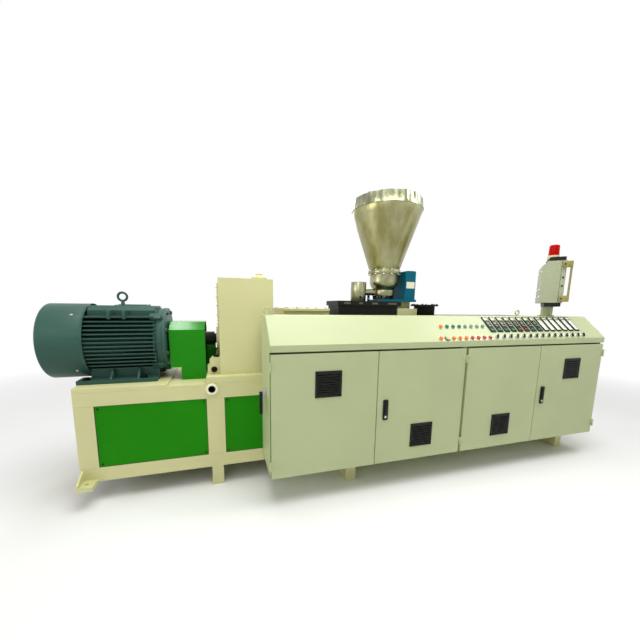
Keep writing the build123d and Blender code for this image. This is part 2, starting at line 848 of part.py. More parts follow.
def round_pan(low, high, radius, edge):
    """A cylinder on the hopper's axis with its lower edge rounded off."""
    body = rod_z(low, high, radius, hopper_x, 0)
    return fillet(body.edges().group_by(Axis.Z)[0], edge)


def cabinet_section():
    """The cabinet's end outline, with the console's slope."""
    return [
        (cabinet_body_face, cabinet_low), (cabinet_body_face, fascia_low),
        (cabinet_face, fascia_low), (cabinet_face, fascia_top),
        (cabinet_face + console_depth, console_top), (cabinet_back, console_top),
        (cabinet_back, cabinet_low)]


def make_cabinet():
    nodes = {}
    section = cabinet_section()
    inside_left = cabinet_left + cabinet_sheet
    inside_right = cabinet_right - cabinet_sheet
    nodes["cabinet_end_walls"] = [prism_x(section, cabinet_left, inside_left),
                                  prism_x(section, inside_right, cabinet_right)]
    nodes["cabinet_floor"] = slab(inside_left, inside_right, cabinet_body_face, cabinet_back,
                                  cabinet_low, cabinet_low + cabinet_sheet)
    nodes["cabinet_back"] = slab(inside_left, inside_right, cabinet_back - cabinet_sheet, cabinet_back,
                                 cabinet_low + cabinet_sheet, console_top - cabinet_sheet)

    # Console: fascia, slope and flat top, mitred where the sheet is folded.
    low_fold = (cabinet_face, fascia_top)
    low_fold_inside = (cabinet_face + cabinet_sheet,
                       fascia_top - cabinet_sheet * tan(pi / 4 - slope_angle / 2))
    high_fold = (cabinet_face + console_depth, console_top)
    high_fold_inside = (cabinet_face + console_depth + cabinet_sheet * tan(slope_angle / 2),
                        console_top - cabinet_sheet)
    folds = {
        "console_fascia": [(cabinet_face, fascia_low), low_fold, low_fold_inside,
                           (cabinet_face + cabinet_sheet, fascia_low)],
        "console_slope": [low_fold, high_fold, high_fold_inside, low_fold_inside],
        "console_top": [high_fold, (cabinet_back, console_top),
                        (cabinet_back, console_top - cabinet_sheet), high_fold_inside]}
    for name, points in folds.items():
        nodes[name] = prism_x(points, inside_left, inside_right)

    nodes["cabinet_centre_post"] = slab(
        cabinet_middle - centre_post_width / 2, cabinet_middle + centre_post_width / 2,
        cabinet_body_face, cabinet_body_face + centre_post_depth,
        cabinet_low + cabinet_sheet, fascia_low)

    eye_y = cabinet_back - cabinet_eye_from_back
    nodes["cabinet_lifting_eyes"] = [
        eye_bolt(x, eye_y, console_top, cabinet_eye_shank, cabinet_eye_shank_height,
                 cabinet_eye_major, cabinet_eye_minor)
        for x in (cabinet_left + cabinet_eye_from_left, cabinet_right - cabinet_eye_from_right)]
    return nodes


def door_layout():
    """For each door: its left and right edges, its hinge side and the hinge axis in X."""
    doors = []
    for i in range(door_count):
        left = cabinet_left + i * door_pitch
        right = left + door_pitch
        if i % 2 == 0:
            left += door_edge_gap if i == 0 else 2 * hinge_out
            right -= door_gap / 2
            doors.append((left, right, -1, left - hinge_out))
        else:
            left += door_gap / 2
            right -= door_edge_gap if i == door_count - 1 else 2 * hinge_out
            doors.append((left, right, 1, right + hinge_out))
    return doors


def hinge_levels():
    return (door_low + hinge_from_low, door_top - hinge_from_high)


def make_doors():
    nodes = {}
    fixed_halves = []
    for i, (left, right, side, axis_x) in enumerate(door_layout()):
        name = f"door_{i + 1}"
        back = cabinet_face + door_thickness
        door = slab(left, right, cabinet_face, back, door_low, door_top)
        door -= slab(left + door_sheet, right - door_sheet, cabinet_face + door_sheet, back + overrun,
                     door_low + door_sheet, door_top - door_sheet)
        vent_x0 = (left + right) / 2 + vent_shift - vent_width / 2
        vent_z0 = door_low + vent_low_shares[i] * door_height
        door -= slab(vent_x0 + vent_border, vent_x0 + vent_width - vent_border,
                     cabinet_face - overrun, cabinet_face + door_sheet + overrun,
                     vent_z0 + vent_border, vent_z0 + vent_height - vent_border)
        for level in hinge_levels():
            door += door_knuckle(axis_x, side, level)
            fixed_halves.append(fixed_knuckle(axis_x, level, i))
        nodes[name] = door
        fittings = [louvre(vent_x0, vent_z0)]
        if side > 0:
            fittings.append(latch(left + latch_from_edge))
        nodes[f"{name}_fittings"] = fittings
    nodes["cabinet_hinges"] = fixed_halves
    return nodes


def door_knuckle(axis_x, side, level):
    """The upper half of a hinge: a bored knuckle with a leaf on the door's face."""
    low = level + knuckle_gap
    high = low + knuckle_length
    knuckle = rod_z(low, high, knuckle_radius, axis_x, hinge_y)
    leaf_end = axis_x - side * (hinge_out + hinge_leaf_length)
    x0, x1 = sorted((axis_x, leaf_end))
    knuckle += slab(x0, x1, cabinet_face - hinge_leaf, cabinet_face, low, high)
    knuckle -= rod_z(low - overrun, low + hinge_pin_length, hinge_pin_bore, axis_x, hinge_y)
    return knuckle


def fixed_knuckle(axis_x, level, door_index):
    """The lower half: a knuckle with its pin, on an arm to the wall or the centre post."""
    low = level - knuckle_length
    knuckle = rod_z(low, level, knuckle_radius, axis_x, hinge_y)
    knuckle += rod_z(level, level + hinge_pin_length - knuckle_gap, hinge_pin_radius, axis_x, hinge_y)
    on_wall = door_index in (0, door_count - 1)
    arm_back = cabinet_body_face + (hinge_arm_lap if on_wall else 0)
    knuckle += slab(axis_x - hinge_arm / 2, axis_x + hinge_arm / 2, hinge_y, arm_back, low, level)
    return knuckle


def louvre(x0, z0):
    """A framed vent with slats across it, on the door's face."""
    y0 = cabinet_face - vent_proud
    frame = slab(x0, x0 + vent_width, y0, cabinet_face, z0, z0 + vent_height)
    inner_left = x0 + vent_border
    inner_right = x0 + vent_width - vent_border
    inner_low = z0 + vent_border
    pitch = (vent_height - 2 * vent_border) / vent_slat_count
    for i in range(vent_slat_count):
        low = inner_low + i * pitch
        frame -= slab(inner_left, inner_right, y0 - overrun, cabinet_face + overrun,
                      low, low + pitch * (1 - vent_slat_share))
    return frame


def latch(x0):
    """A flat swing latch with rounded ends."""
    low = door_low + latch_low_share * door_height
    body = slab(x0, x0 + latch_width, cabinet_face - latch_proud, cabinet_face, low, low + latch_height)
    return fillet(body.edges().filter_by(Axis.Y), latch_round)


def make_isolator():
    nodes = {}
    y = cabinet_back - isolator_depth_share * cabinet_depth
    boss_left = cabinet_left - isolator_boss_length
    nodes["isolator_boss"] = rod_x(boss_left, cabinet_left, isolator_boss_radius, y, isolator_height)
    lever_right = boss_left - isolator_gap
    lever_left = lever_right - isolator_lever_thickness
    half = isolator_lever_width / 2
    lever = slab(lever_left, lever_right, y - half, y + half,
                 isolator_height - isolator_lever_length, isolator_height)
    lever += rod_x(lever_left, lever_right, half, y, isolator_height)
    nodes["isolator_lever"] = lever
    return nodes


def on_console(x, rise_share):
    """A place on the slope, with local Z standing off it and local Y running up it."""
    y = cabinet_face + console_depth * rise_share
    z = fascia_top + (console_top - fascia_top) * rise_share
    return Pos(x, y, z) * Rot(degrees(slope_angle), 0, 0)


def make_console_parts():
    nodes = {}
    lamp_last = cabinet_left + lamp_last_share * cabinet_length
    lamps = []
    for rise_share, count in zip(lamp_rise_shares, lamp_counts):
        for i in range(count):
            place = on_console(lamp_last - i * lamp_pitch, rise_share)
            lamp = Pos(0, 0, lamp_bezel_height / 2) * Cylinder(lamp_bezel_radius, lamp_bezel_height)
            lamp += Pos(0, 0, lamp_height / 2) * Cylinder(lamp_radius, lamp_height)
            lamps.append(place * lamp)
    nodes["console_lamps"] = lamps

    meter_first = cabinet_left + meter_first_share * cabinet_length
    nodes["console_meters"] = [
        on_console(meter_first + i * meter_pitch, meter_rise_share)
        * Pos(0, 0, meter_proud / 2) * Box(meter_width, meter_height, meter_proud)
        for i in range(meter_count)]

    knob_first = cabinet_left + knob_first_share * cabinet_length
    knobs = []
    for i in range(knob_count):
        knob = Pos(0, 0, knob_plate_height / 2) * Cylinder(knob_radius, knob_plate_height)
        knob += Pos(0, 0, knob_plate_height + knob_grip_height / 2) * Box(
            knob_grip_width, knob_grip_length, knob_grip_height)
        knobs.append(on_console(knob_first + i * knob_pitch, knob_rise_share) * knob)
    nodes["console_knobs"] = knobs
    return nodes


def make_hmi():
    """Operator panel; its pieces above the post turn together about the post."""
    nodes = {}
    post_top = hmi_low - hmi_cap - swivel_gap
    post = rod_z(console_top, post_top, post_radius, hmi_x, hmi_y)
    post += rod_z(console_top, console_top + post_base_height, post_base_radius, hmi_x, hmi_y)
    nodes["hmi_post"] = post

    place = Pos(hmi_x, hmi_y, 0) * Rot(0, 0, hmi_turn)
    high = hmi_low + hmi_height
    box = slab(-hmi_width / 2, hmi_width / 2, -hmi_depth / 2, hmi_depth / 2, hmi_low, high)
    top_rear_edge = box.edges().filter_by(Axis.X).group_by(Axis.Y)[-1].sort_by(Axis.Z)[-1]
    box = chamfer(top_rear_edge, hmi_chamfer)
    screen = slab(-hmi_width / 2 + hmi_bezel, hmi_width / 2 - hmi_bezel,
                  -hmi_depth / 2 - overrun, -hmi_depth / 2 + hmi_bezel_depth,
                  hmi_low + hmi_bezel, high - hmi_bezel)
    nodes["hmi_housing"] = place * (box - screen)

    cap_x = hmi_width / 2 - hmi_cap_inset
    cap_y = hmi_depth / 2 - hmi_cap_inset
    caps = []
    for low in (hmi_low - hmi_cap, high):
        cap = slab(-cap_x, cap_x, -cap_y, cap_y - hmi_chamfer, low, low + hmi_cap)
        caps.append(place * fillet(cap.edges().filter_by(Axis.Z), hmi_cap_round))
    nodes["hmi_caps"] = caps

    handles = []
    for side in (-1, 1):
        inner = hmi_width / 2
        outer = inner + handle_thickness
        face = -hmi_depth / 2
        grip_y = face - handle_reach + handle_radius
        handle = rod_z(hmi_low + handle_block / 2, high - handle_block / 2, handle_radius,
                       (inner + outer) / 2, grip_y)
        for low in (hmi_low + handle_inset, high - handle_block - handle_inset):
            handle += slab(inner, outer, face - handle_reach, face + handle_lap, low, low + handle_block)
        if side < 0:
            handle = mirror(handle, Plane.YZ)
        handles.append(place * handle)
    nodes["hmi_handles"] = handles

    beacon_low = high + hmi_cap
    base_top = beacon_low + beacon_base_height
    nodes["beacon_base"] = place * rod_z(beacon_low, base_top, beacon_radius, 0, 0)
    lens = rod_z(base_top, base_top + beacon_height, beacon_radius * beacon_gap_share, 0, 0)
    nodes["beacon_lens"] = place * fillet(lens.edges().group_by(Axis.Z)[-1], beacon_round)
    return nodes


def write_nodes(nodes):
    os.makedirs("parts", exist_ok=True)
    for name, shape in nodes.items():
        if isinstance(shape, list):
            shape = Compound(children=shape)
        export_step(shape, f"parts/{name}.step")


def main():
    nodes = {}
    for make in (make_base, make_cabinet_beams, make_motor, make_coupling, make_gearbox, make_barrel,
                 make_feeder, make_cabinet, make_doors, make_isolator, make_console_parts, make_hmi):
        nodes.update(make())
    write_nodes(nodes)


main()
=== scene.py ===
"""Looks of a conical twin-screw extruder with its side control cabinet, in metres."""
import json
from math import atan2, cos, pi, radians, sin

import bmesh
import bpy
from mathutils import Matrix, Vector


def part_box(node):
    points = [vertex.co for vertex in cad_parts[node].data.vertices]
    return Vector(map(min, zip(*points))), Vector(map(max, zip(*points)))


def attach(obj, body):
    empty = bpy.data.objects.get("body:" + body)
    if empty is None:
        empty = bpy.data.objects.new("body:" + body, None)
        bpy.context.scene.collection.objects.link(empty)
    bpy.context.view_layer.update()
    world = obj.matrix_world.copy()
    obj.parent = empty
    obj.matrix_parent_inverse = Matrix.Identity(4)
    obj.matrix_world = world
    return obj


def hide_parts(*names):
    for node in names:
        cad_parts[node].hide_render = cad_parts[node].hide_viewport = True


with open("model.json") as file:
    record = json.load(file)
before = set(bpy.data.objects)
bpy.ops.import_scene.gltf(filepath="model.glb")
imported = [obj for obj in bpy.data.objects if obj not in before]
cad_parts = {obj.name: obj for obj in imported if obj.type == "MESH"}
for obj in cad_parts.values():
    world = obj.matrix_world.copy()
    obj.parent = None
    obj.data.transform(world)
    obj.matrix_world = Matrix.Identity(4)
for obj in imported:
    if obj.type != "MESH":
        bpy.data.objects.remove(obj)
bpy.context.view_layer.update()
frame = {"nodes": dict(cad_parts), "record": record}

# Camera: place in the part's frame, direction, lens, picture centre, and near and far limits.
camera_place = Vector((-1.1627, -2.5355, 1.3041))
camera_yaw = radians(16.98)
camera_pitch = radians(8.86)
camera_roll = radians(0.73)
camera_lens = 17.2
camera_sensor = 36.0
camera_shift = (0.0114, 0.0534)
camera_range = (0.05, 200.0)

# Stage: surround, floor and soft lamps as name, place, size and power.
world_strength = 0.2
floor_reach = 40.0
floor_fade = (2.6, 6.5)
floor_tones = ((0.84, 0.84, 0.83), (0.88, 0.88, 0.87))
lamp_target = Vector((0, 0, 0.8))
studio_lamps = (("top", (-0.2, -1.0, 5.0), 4.5, 232.0),
                ("key", (-3.5, -4.5, 4.0), 2.5, 41.0),
                ("fill", (4.0, -5.0, 3.5), 3.5, 14.0),
                ("rear", (0.5, 5.0, 4.5), 4.0, 100.0),
                ("side", (-6.5, -1.0, 2.2), 3.0, 90.0),
                ("sheen", (-1.9, 1.25, 5.0), 0.5, 16.0),
                ("end", (2.9, -0.9, 3.6), 1.4, 38.0))

# Directions that fittings face, and the matrix that moves a form to a place.
FRONT = Vector((0, -1, 0))
REAR = Vector((0, 1, 0))
LEFT = Vector((-1, 0, 0))
RIGHT = Vector((1, 0, 0))
UP = Vector((0, 0, 1))
DOWN = Vector((0, 0, -1))
moved = Matrix.Translation

# Softened edges on the CAD pieces, and the angle from which an edge stays sharp.
edge_widths = {"cream_paint": 0.003, "green_paint": 0.0015, "teal_paint": 0.0025, "black_steel": 0.002,
               "blue_paint": 0.003, "cabinet_paint": 0.0018, "stainless": 0.0012, "bare_steel": 0.0012,
               "black_plastic": 0.001, "grey_plastic": 0.001, "olive_plastic": 0.003}
weld_distance = 0.00005
bevel_angle = radians(38)
bevel_steps = 2
sharp_angle = radians(34)

# Finishes: noise in tone, gloss and relief as scale and detail, and strength and depth of the relief.
paint_noises = ((2.2,), (14.0,), (900.0, 1.0))
paint_relief = (0.06, 0.0004)
metal_detail = 4.0
metal_relief = (0.04, 0.0004)
metal_dull_share = 0.88
plastic_noises = ((30.0,), (60.0,), (1500.0, 1.0))
plastic_relief = (0.1, 0.0003)
plastic_dull_share = 0.85
floor_tone_scale = 0.6
floor_roughness = 0.7
white = (1.0, 1.0, 1.0, 1.0)

# Fasteners: outlines as shares of the head's radius, out from the axis and up from the seat.
# Below, bolts of a ring are its radius, where that is set, then their count and head radius.
washer_shares = ((1.2, 0), (1.2, 0.16), (0, 0.16))
hex_head_shares = ((1, 0.16), (1, 0.72), (0.84, 0.88), (0, 0.88))
cap_screw_shares = ((1, 0), (1, 0.6), (0.88, 0.75), (0.5, 0.75), (0.45, 0.35), (0, 0.35))

# Base: windows with green panels edged in painted shadow, and the lifting tube through both sides, with
# painted shade in its bore and a painted highlight on its collars.
window_count = 5
window_length = 0.684
window_pitch = 0.804
panel_screw_inset = 0.02
panel_screw_radius = 0.0055
# Black strips round each window: painted shadow of the gap between panel and frame.
shadow_strip_width = 0.0035
shadow_strip_proud = 0.0015
lifting_from_window = 0.038
lifting_radius = 0.026
lifting_collar = 0.041
# Thickness of the black sleeve that paints shade in the tube's bore.
lifting_shade_sleeve = 0.0012
lifting_play = 0.0002
# Thickness and edge of the pale ring on each collar, a painted highlight.
lifting_highlight_ring = 0.003
lifting_highlight_edge = 0.0018

# Motor: foot and end shield.
foot_thickness = 0.027
foot_length = 0.479
foot_bolt_size = 0.019
foot_bolt_y = 0.215
foot_bolt_from_right = 0.085
foot_bolt_from_left = 0.05
ear_bolts = (0.236, 4, 0.014)
ear_thickness = 0.034
shield_bolts = (0.086, 6, 0.009)
flange_radius = 0.232
flange_inner = 0.165
flange_width = 0.026
flange_from_hub = 0.012
flange_chamfer = 0.003
flange_bolts = (8, 0.014)
flange_bolt_outset = 0.012
web_length = 0.06
web_height = 0.05
web_thickness = 0.012
web_round = 0.002

# Motor: turret ribs as length, width, height and rounding, then fan cowl, fan and terminal box.
turret_half = 0.19
turret_rib_rise = 0.455
turret_ribs_from_right = (0.274, 0.184)
turret_rib = (0.018, 0.056, 0.02, 0.003)
cowl_band_width = 0.014
cowl_band_proud = 0.002
cowl_band_lap = 0.001
cowl_band_edge = 0.002
cowl_screw_count = 4
cowl_screw_size = 0.008
cowl_screw_from_edge = 0.066
fan_blade_count = 9
fan_radius = 0.2
fan_hub = 0.07
fan_depth = 0.075
fan_disc = 0.004
fan_from_end = 0.045
fan_blade = 0.005
lid_screw_inset = 0.016
lid_screw_radius = 0.007

# Gearbox, coupling and distribution box.
case_length = 0.384
cover_plate = 0.01
cover_margin = 0.035
cover_low = 0.31
cover_round = 0.002
cover_bolt_count = 5
cover_bolt_size = 0.008
cover_bolt_inset = 0.025
lug_inset = 0.04
lug_half = 0.045
lug_height = 0.12
lug_bolt_size = 0.018
lug_bolt_from_left = 0.045
lug_bolt_rise = 0.034
lug_top_bolt_gap = 0.026
breather_shares = ((1.3, 0), (1.3, 0.16), (0.98, 0.2), (0.98, 0.5), (0.85, 0.66), (0.55, 0.76),
                   (0.4, 0.78), (0.4, 1.0), (0, 1.0))
breather_rim_share = 0.16
breather_bolt_share = 1.14
breather_bolts = (6, 0.006)
coupling_bolts = (6, 0.008)
coupling_bolt_share = 0.82
box_length = 0.365
box_bolt_count = 5
box_bolt_size = 0.011
box_bolt_inset = 0.03
box_bolt_from_side = 0.02

# Hopper band: pleats as waves round the rim, and the share of the height over which they grow.
collar_facets = 12
collar_steps = 14
collar_rows = 6
collar_bead = 0.003
collar_sheet = 0.003
collar_taper = 0.006
pleat_depth = 0.0045
pleat_waves = (19, 31)
pleat_phase = 1.0
pleat_growth_share = 0.4

# Bowl, column and feeder fittings. The throat's ring is radius, count and first angle, and the
# probe's forms are radius, height and broken edge.
bowl_bolts = (12, 0.009)
bowl_bolt_inset = 0.006
bowl_flange = 0.03
column_width = 0.102
column_inset = 0.025
column_plate_size = (0.082, 0.056, 0.0015)
column_plate_rise = 0.147
throat_rise = 0.052
throat_ring = (0.086, 10, pi / 12)
throat_bolt_size = 0.009
stud_radius = 0.007
stud_length = 0.03
stand_plate = 0.02
stand_plate_reach = 0.06
feeder_radius = 0.067
feeder_bolt_rise = 0.034
feeder_bolt_size = 0.009
feeder_bolt_turn = radians(-8)
feeder_seam_turn = radians(12)
feeder_seam_width = 0.003
feeder_seam_proud = 0.0008
probe_from_stand = 0.094
probe_y = -0.05
probe_form = (0.011, 0.056, (0.003, 0.004))
probe_cap_form = (0.008, 0.017, (0.002, 0.003))
probe_cap_rise = 0.022
probe_cap_offset = 0.004

# Vent, casing and feed platform, whose marks are height, depth and rounding.
vent_bolts = (0.106, 8, 0.008)
mark_section = (0.016, 0.0015, 0.0005)
mark_rise = 0.099
mark_place_shares = (0.14, 0.35, 0.57, 0.85)
mark_lengths = (0.06, 0.034, 0.054, 0.085)
casing_sections = 4
louvre_count = 7
louvre_length = 0.3
louvre_height = 0.016
louvre_proud = 0.009
louvre_pitch = 0.032
louvre_round = 0.0008
casing_screw_inset = 0.04
casing_screw_radius = 0.006

# Operator panel, with its glass as thickness and rounding, and its grips.
panel_turn = radians(41)
panel_width = 0.38
panel_depth = 0.165
panel_bezel = 0.016
panel_recess = 0.006
glass_form = (0.003, 0.001)
panel_seam = 0.034
panel_seam_width = 0.002
panel_seam_proud = 0.0007
panel_screw_spread = 0.035
panel_edge_screw = 0.007
rear_bolt_size = 0.007
rear_bolt_inset = 0.03
rear_bolts_from_low = (0.05, 0.11)
rear_bolt_from_top = 0.09
grip_reach = 0.038
grip_lap = 0.03
grip_thickness = 0.024
grip_block = 0.052
grip_round = 0.004
grip_from_end = 0.008
grip_radius = 0.008
grip_screw_radius = 0.006

# Beacon: a plain foot, then ribs over most of the height, as shares of the height and of a rib.
beacon_ribs = 6
beacon_foot_share = 0.1
beacon_rib_share = 0.7
beacon_groove_share = 0.3
beacon_ridge_share = 0.6
beacon_groove = 0.0012
beacon_taper_share = 0.08
beacon_round = 0.012
beacon_steps = 5

# Doors: vent frames, latches and gaskets.
door_numbers = (1, 2, 3, 4)
left_hung_doors = (1, 3)
latched_doors = (2, 4)
low_vent_doors = (2,)
low_latch_doors = (4,)
knuckle_reach = 0.011
door_sheet = 0.0025
vent_size = (0.182, 0.174)
vent_proud = 0.006
vent_screw_inset = 0.007
vent_screw_radius = 0.004
latch_width = 0.037
latch_height = 0.145
lever_size_shares = (0.5, 0.62)
lever_place_share = 0.6
lever_proud = 0.007
lever_round = 0.002
key_place_share = 0.16
key_radius = 0.009
key_height = 0.003
key_shares = ((1, 0), (1, 0.67), (0.78, 1), (0.33, 1), (0.33, 0.33), (0, 0.33))
gasket_inset = 0.016
gasket_width = 0.01
gasket_depth = 0.018
gasket_round = 0.002

# Console: slope, and lamps with their colours from left to right in two rows.
slope_rise = 0.176
slope_run = 0.185
slope_angle = atan2(slope_rise, slope_run)
lamp_pitch = 0.0558
lamp_rise_shares = (0.555, 0.104)
lamp_rows = ("OGGGPPPP", "OWOOORRRR")
lamp_last_from_left = 1.68212
lamp_radius = 0.017
cap_height = 0.0118
cap_shares = ((0.982, 0.17), (0.965, 0.72), (0.8, 0.89), (0.4, 0.975), (0, 1))
bezel_radius = 0.021
bezel_height = 0.0045
bezel_edge = 0.0015
lamp_well = 0.002

# Console meters: digits of the lit ones by colour, and bands as rise and height shares of a meter.
meter_count = 14
meter_digits = "GGGGRRTT"
meter_pitch = 0.0708
meter_first_from_left = 1.7565
meter_rise_share = 0.632
meter_size = (0.05, 0.158, 0.008)
meter_round = 0.0015
meter_rim = 0.006
meter_face = 0.0012
meter_face_round = 0.0004
meter_band_shares = ((0.35, 0.2), (0.0, 0.42), (-0.37, 0.1))
blank_band_shares = ((0.38, 0.14), (-0.09, 0.7))
line_rise_shares = (0.12, 0.04, -0.12)
line_size_shares = (0.5, 0.022)
meter_line = 0.0004

# Console selector knobs; a grip is width, length, height and rounding.
knob_count = 15
knob_pitch = 0.067
knob_first_from_left = 1.75062
knob_rise_share = 0.115
knob_turn = -pi / 5
knob_radius = 0.018
knob_plate = 0.004
knob_plate_edge = (0.002, 0.001)
knob_collar_shares = (0.9, 0.8)
knob_collar_top = 0.011
knob_grip = (0.011, 0.036, 0.012, 0.0025)
knob_grip_rise = 0.0105
pointer_size = (0.002, 0.009, 0.0006)
pointer_offset = 0.013
pointer_rise = 0.0215


def shader(name):
    """A new material, its node tree and its Principled node."""
    made = bpy.data.materials.new(name)
    made.use_nodes = True
    tree = made.node_tree
    return made, tree, tree.nodes["Principled BSDF"]


def noise(tree, scale, detail=3.0, stretch=(1, 1, 1)):
    """A noise texture in object space, drawn out along an axis where asked."""
    place = tree.nodes.new("ShaderNodeTexCoord")
    mapping = tree.nodes.new("ShaderNodeMapping")
    mapping.inputs["Scale"].default_value = stretch
    texture = tree.nodes.new("ShaderNodeTexNoise")
    texture.inputs["Scale"].default_value = scale
    texture.inputs["Detail"].default_value = detail
    tree.links.new(place.outputs["Object"], mapping.inputs["Vector"])
    tree.links.new(mapping.outputs["Vector"], texture.inputs["Vector"])
    return texture.outputs["Fac"]


def ramp(tree, value, low, high, start=0.35, end=0.65):
    """A colour ramp between two colours over a noise value."""
    node = tree.nodes.new("ShaderNodeValToRGB")
    node.color_ramp.elements[0].position = start
    node.color_ramp.elements[0].color = (*low, 1)
    node.color_ramp.elements[1].position = end
    node.color_ramp.elements[1].color = (*high, 1)
    tree.links.new(value, node.inputs["Fac"])
    return node.outputs["Color"]


def spread(tree, value, low, high):
    """A value from nought to one mapped to a range."""
    node = tree.nodes.new("ShaderNodeMapRange")
    node.inputs["To Min"].default_value = low
    node.inputs["To Max"].default_value = high
    tree.links.new(value, node.inputs["Value"])
    return node.outputs["Result"]


def bump(tree, bsdf, value, strength, distance):
    node = tree.nodes.new("ShaderNodeBump")
    node.inputs["Strength"].default_value = strength
    node.inputs["Distance"].default_value = distance
    tree.links.new(value, node.inputs["Height"])
    tree.links.new(node.outputs["Normal"], bsdf.inputs["Normal"])


def surface(name, low, high, rough, tone, sheen, grain, relief):
    """A material whose tone, gloss and relief each follow a noise texture, with its Principled node."""
    made, tree, bsdf = shader(name)
    tree.links.new(ramp(tree, noise(tree, *tone), low, high), bsdf.inputs["Base Color"])
    tree.links.new(spread(tree, noise(tree, *sheen), *rough), bsdf.inputs["Roughness"])
    bump(tree, bsdf, noise(tree, *grain), *relief)
    return made, bsdf


def paint(name, colour, shade_share=0.1, rough=(0.34, 0.48), gloss=0.4):
    """Sprayed enamel: faint cloudiness in colour, uneven gloss and orange peel."""
    low = [c * (1 - shade_share) for c in colour]
    made, bsdf = surface(name, low, colour, rough, *paint_noises, paint_relief)
    bsdf.inputs["Specular IOR Level"].default_value = gloss
    return made


def metal(name, colour, rough=(0.2, 0.36), stretch=(1, 1, 30), scale=18.0, dull=None):
    """Bare or brushed metal with streaks along one direction, in a dull tone between them."""
    low = dull or [c * metal_dull_share for c in colour]
    streaks = (scale, metal_detail, stretch)
    made, bsdf = surface(name, low, colour, rough, streaks, streaks, streaks, metal_relief)
    bsdf.inputs["Metallic"].default_value = 1.0
    return made


def plastic(name, colour, rough=(0.4, 0.55), glow=0.0, gloss=0.4):
    """Moulded plastic with a fine grain, lit from within where asked."""
    low = [c * plastic_dull_share for c in colour]
    made, bsdf = surface(name, low, colour, rough, *plastic_noises, plastic_relief)
    bsdf.inputs["Specular IOR Level"].default_value = gloss
    bsdf.inputs["Emission Color"].default_value = (*colour, 1)
    bsdf.inputs["Emission Strength"].default_value = glow
    return made


def coloured_cap(name, colour):
    """The clear plastic of a lamp, which reflects little."""
    return plastic(name, colour, (0.25, 0.35), gloss=0.1)


looks = {
    "cream_paint": paint("cream_enamel", (0.655, 0.64, 0.325), 0.06),
    "green_paint": paint("green_enamel", (0.014, 0.247, 0.001), gloss=0.08),
    "teal_paint": paint("teal_enamel", (0.03, 0.088, 0.066), gloss=0.25),
    "black_steel": paint("black_enamel", (0.01, 0.011, 0.007), gloss=0.15),
    "bare_steel": metal("machined_steel", (0.55, 0.55, 0.53)),
    "stainless": metal("bright_stainless", (0.38, 0.37, 0.205), (0.22, 0.42), (2.5, 2.5, 1), 5.0,
                       (0.262, 0.246, 0.098)),
    "blue_paint": paint("blue_enamel", (0.002, 0.124, 0.186), gloss=0.12),
    "cabinet_paint": paint("cabinet_powder_coat", (0.48, 0.54, 0.29), 0.06),
    "black_plastic": plastic("black_moulding", (0.01, 0.011, 0.009), gloss=0.2),
    "grey_plastic": plastic("grey_moulding", (0.4, 0.42, 0.38)),
    "olive_plastic": plastic("olive_moulding", (0.3, 0.27, 0.08)),
    "red_lens": plastic("red_lens", (0.48, 0.005, 0.004), (0.16, 0.26), 0.03, 0.05),
}
pleated_sheet = metal("pleated_stainless", (0.315, 0.33, 0.205), (0.16, 0.28), (2.5, 2.5, 1), 5.0,
                      (0.185, 0.195, 0.115))
feeder_sheet = metal("feeder_stainless", (0.4, 0.4, 0.25), (0.2, 0.38), (1, 1, 1), 14.0,
                     (0.24, 0.235, 0.13))
black_bolt = metal("blackened_bolts", (0.012, 0.013, 0.011), (0.35, 0.5))
zinc_bolt = metal("zinc_bolts", (0.62, 0.6, 0.52), (0.25, 0.4))
# Black rubber for the door gaskets; the same finish draws the painted shadow round the panels and the painted
# shade in the lifting tube's bore.
rubber_and_painted_shade = plastic("black_rubber_and_painted_shade", (0.01, 0.01, 0.01), (0.6, 0.75))
pale_plate = metal("pale_plate", (0.75, 0.72, 0.55), (0.3, 0.45))
pale_mark = plastic("pale_slot", (0.1, 0.1, 0.06))
probe_blue = plastic("pale_blue_probe", (0.12, 0.45, 0.8), (0.2, 0.3))
screen_glass = plastic("dark_screen", (0.02, 0.025, 0.03), (0.06, 0.12))
orange = coloured_cap("orange_lamp", (0.85, 0.17, 0.001))
green_lamp = coloured_cap("green_lamp", (0.0, 0.17, 0.075))
pale_lamp = coloured_cap("pale_green_lamp", (0.14, 0.27, 0.15))
white_lamp = coloured_cap("white_lamp", (0.55, 0.56, 0.3))
red_lamp = coloured_cap("red_lamp", (0.5, 0.05, 0.035))
meter_dark = plastic("meter_window", (0.012, 0.018, 0.014), (0.15, 0.25), gloss=0.15)
meter_pale = plastic("meter_face", (0.62, 0.66, 0.52), (0.25, 0.4))
meter_white = plastic("meter_blank", (0.82, 0.84, 0.76), (0.25, 0.4))
meter_green = plastic("meter_digits_green", (0.0, 0.2, 0.1), (0.2, 0.3), gloss=0.1)
meter_red = plastic("meter_digits_red", (0.3, 0.02, 0.02), (0.2, 0.3), gloss=0.1)
meter_teal = plastic("meter_digits_teal", (0.02, 0.16, 0.15), (0.2, 0.3), gloss=0.1)

# Paler than the cream paint: a painted highlight on the faces of the lifting collars.
collar_highlight_coat = paint("collar_painted_highlight", (0.88, 0.87, 0.62), 0.04)
panel_coat = paint("panel_powder_coat", (0.375, 0.405, 0.26), 0.06)
guard_coat = paint("guard_enamel", (0.012, 0.262, 0.001), rough=(0.12, 0.2), gloss=0.14)
own_looks = {"hmi_housing": panel_coat, "coupling_guard": guard_coat, "feeder_bowl": feeder_sheet,
             "feeder_drive": feeder_sheet}
node_slots = {row["node"]: row["material_slot"] for row in frame["record"]["subparts"]}


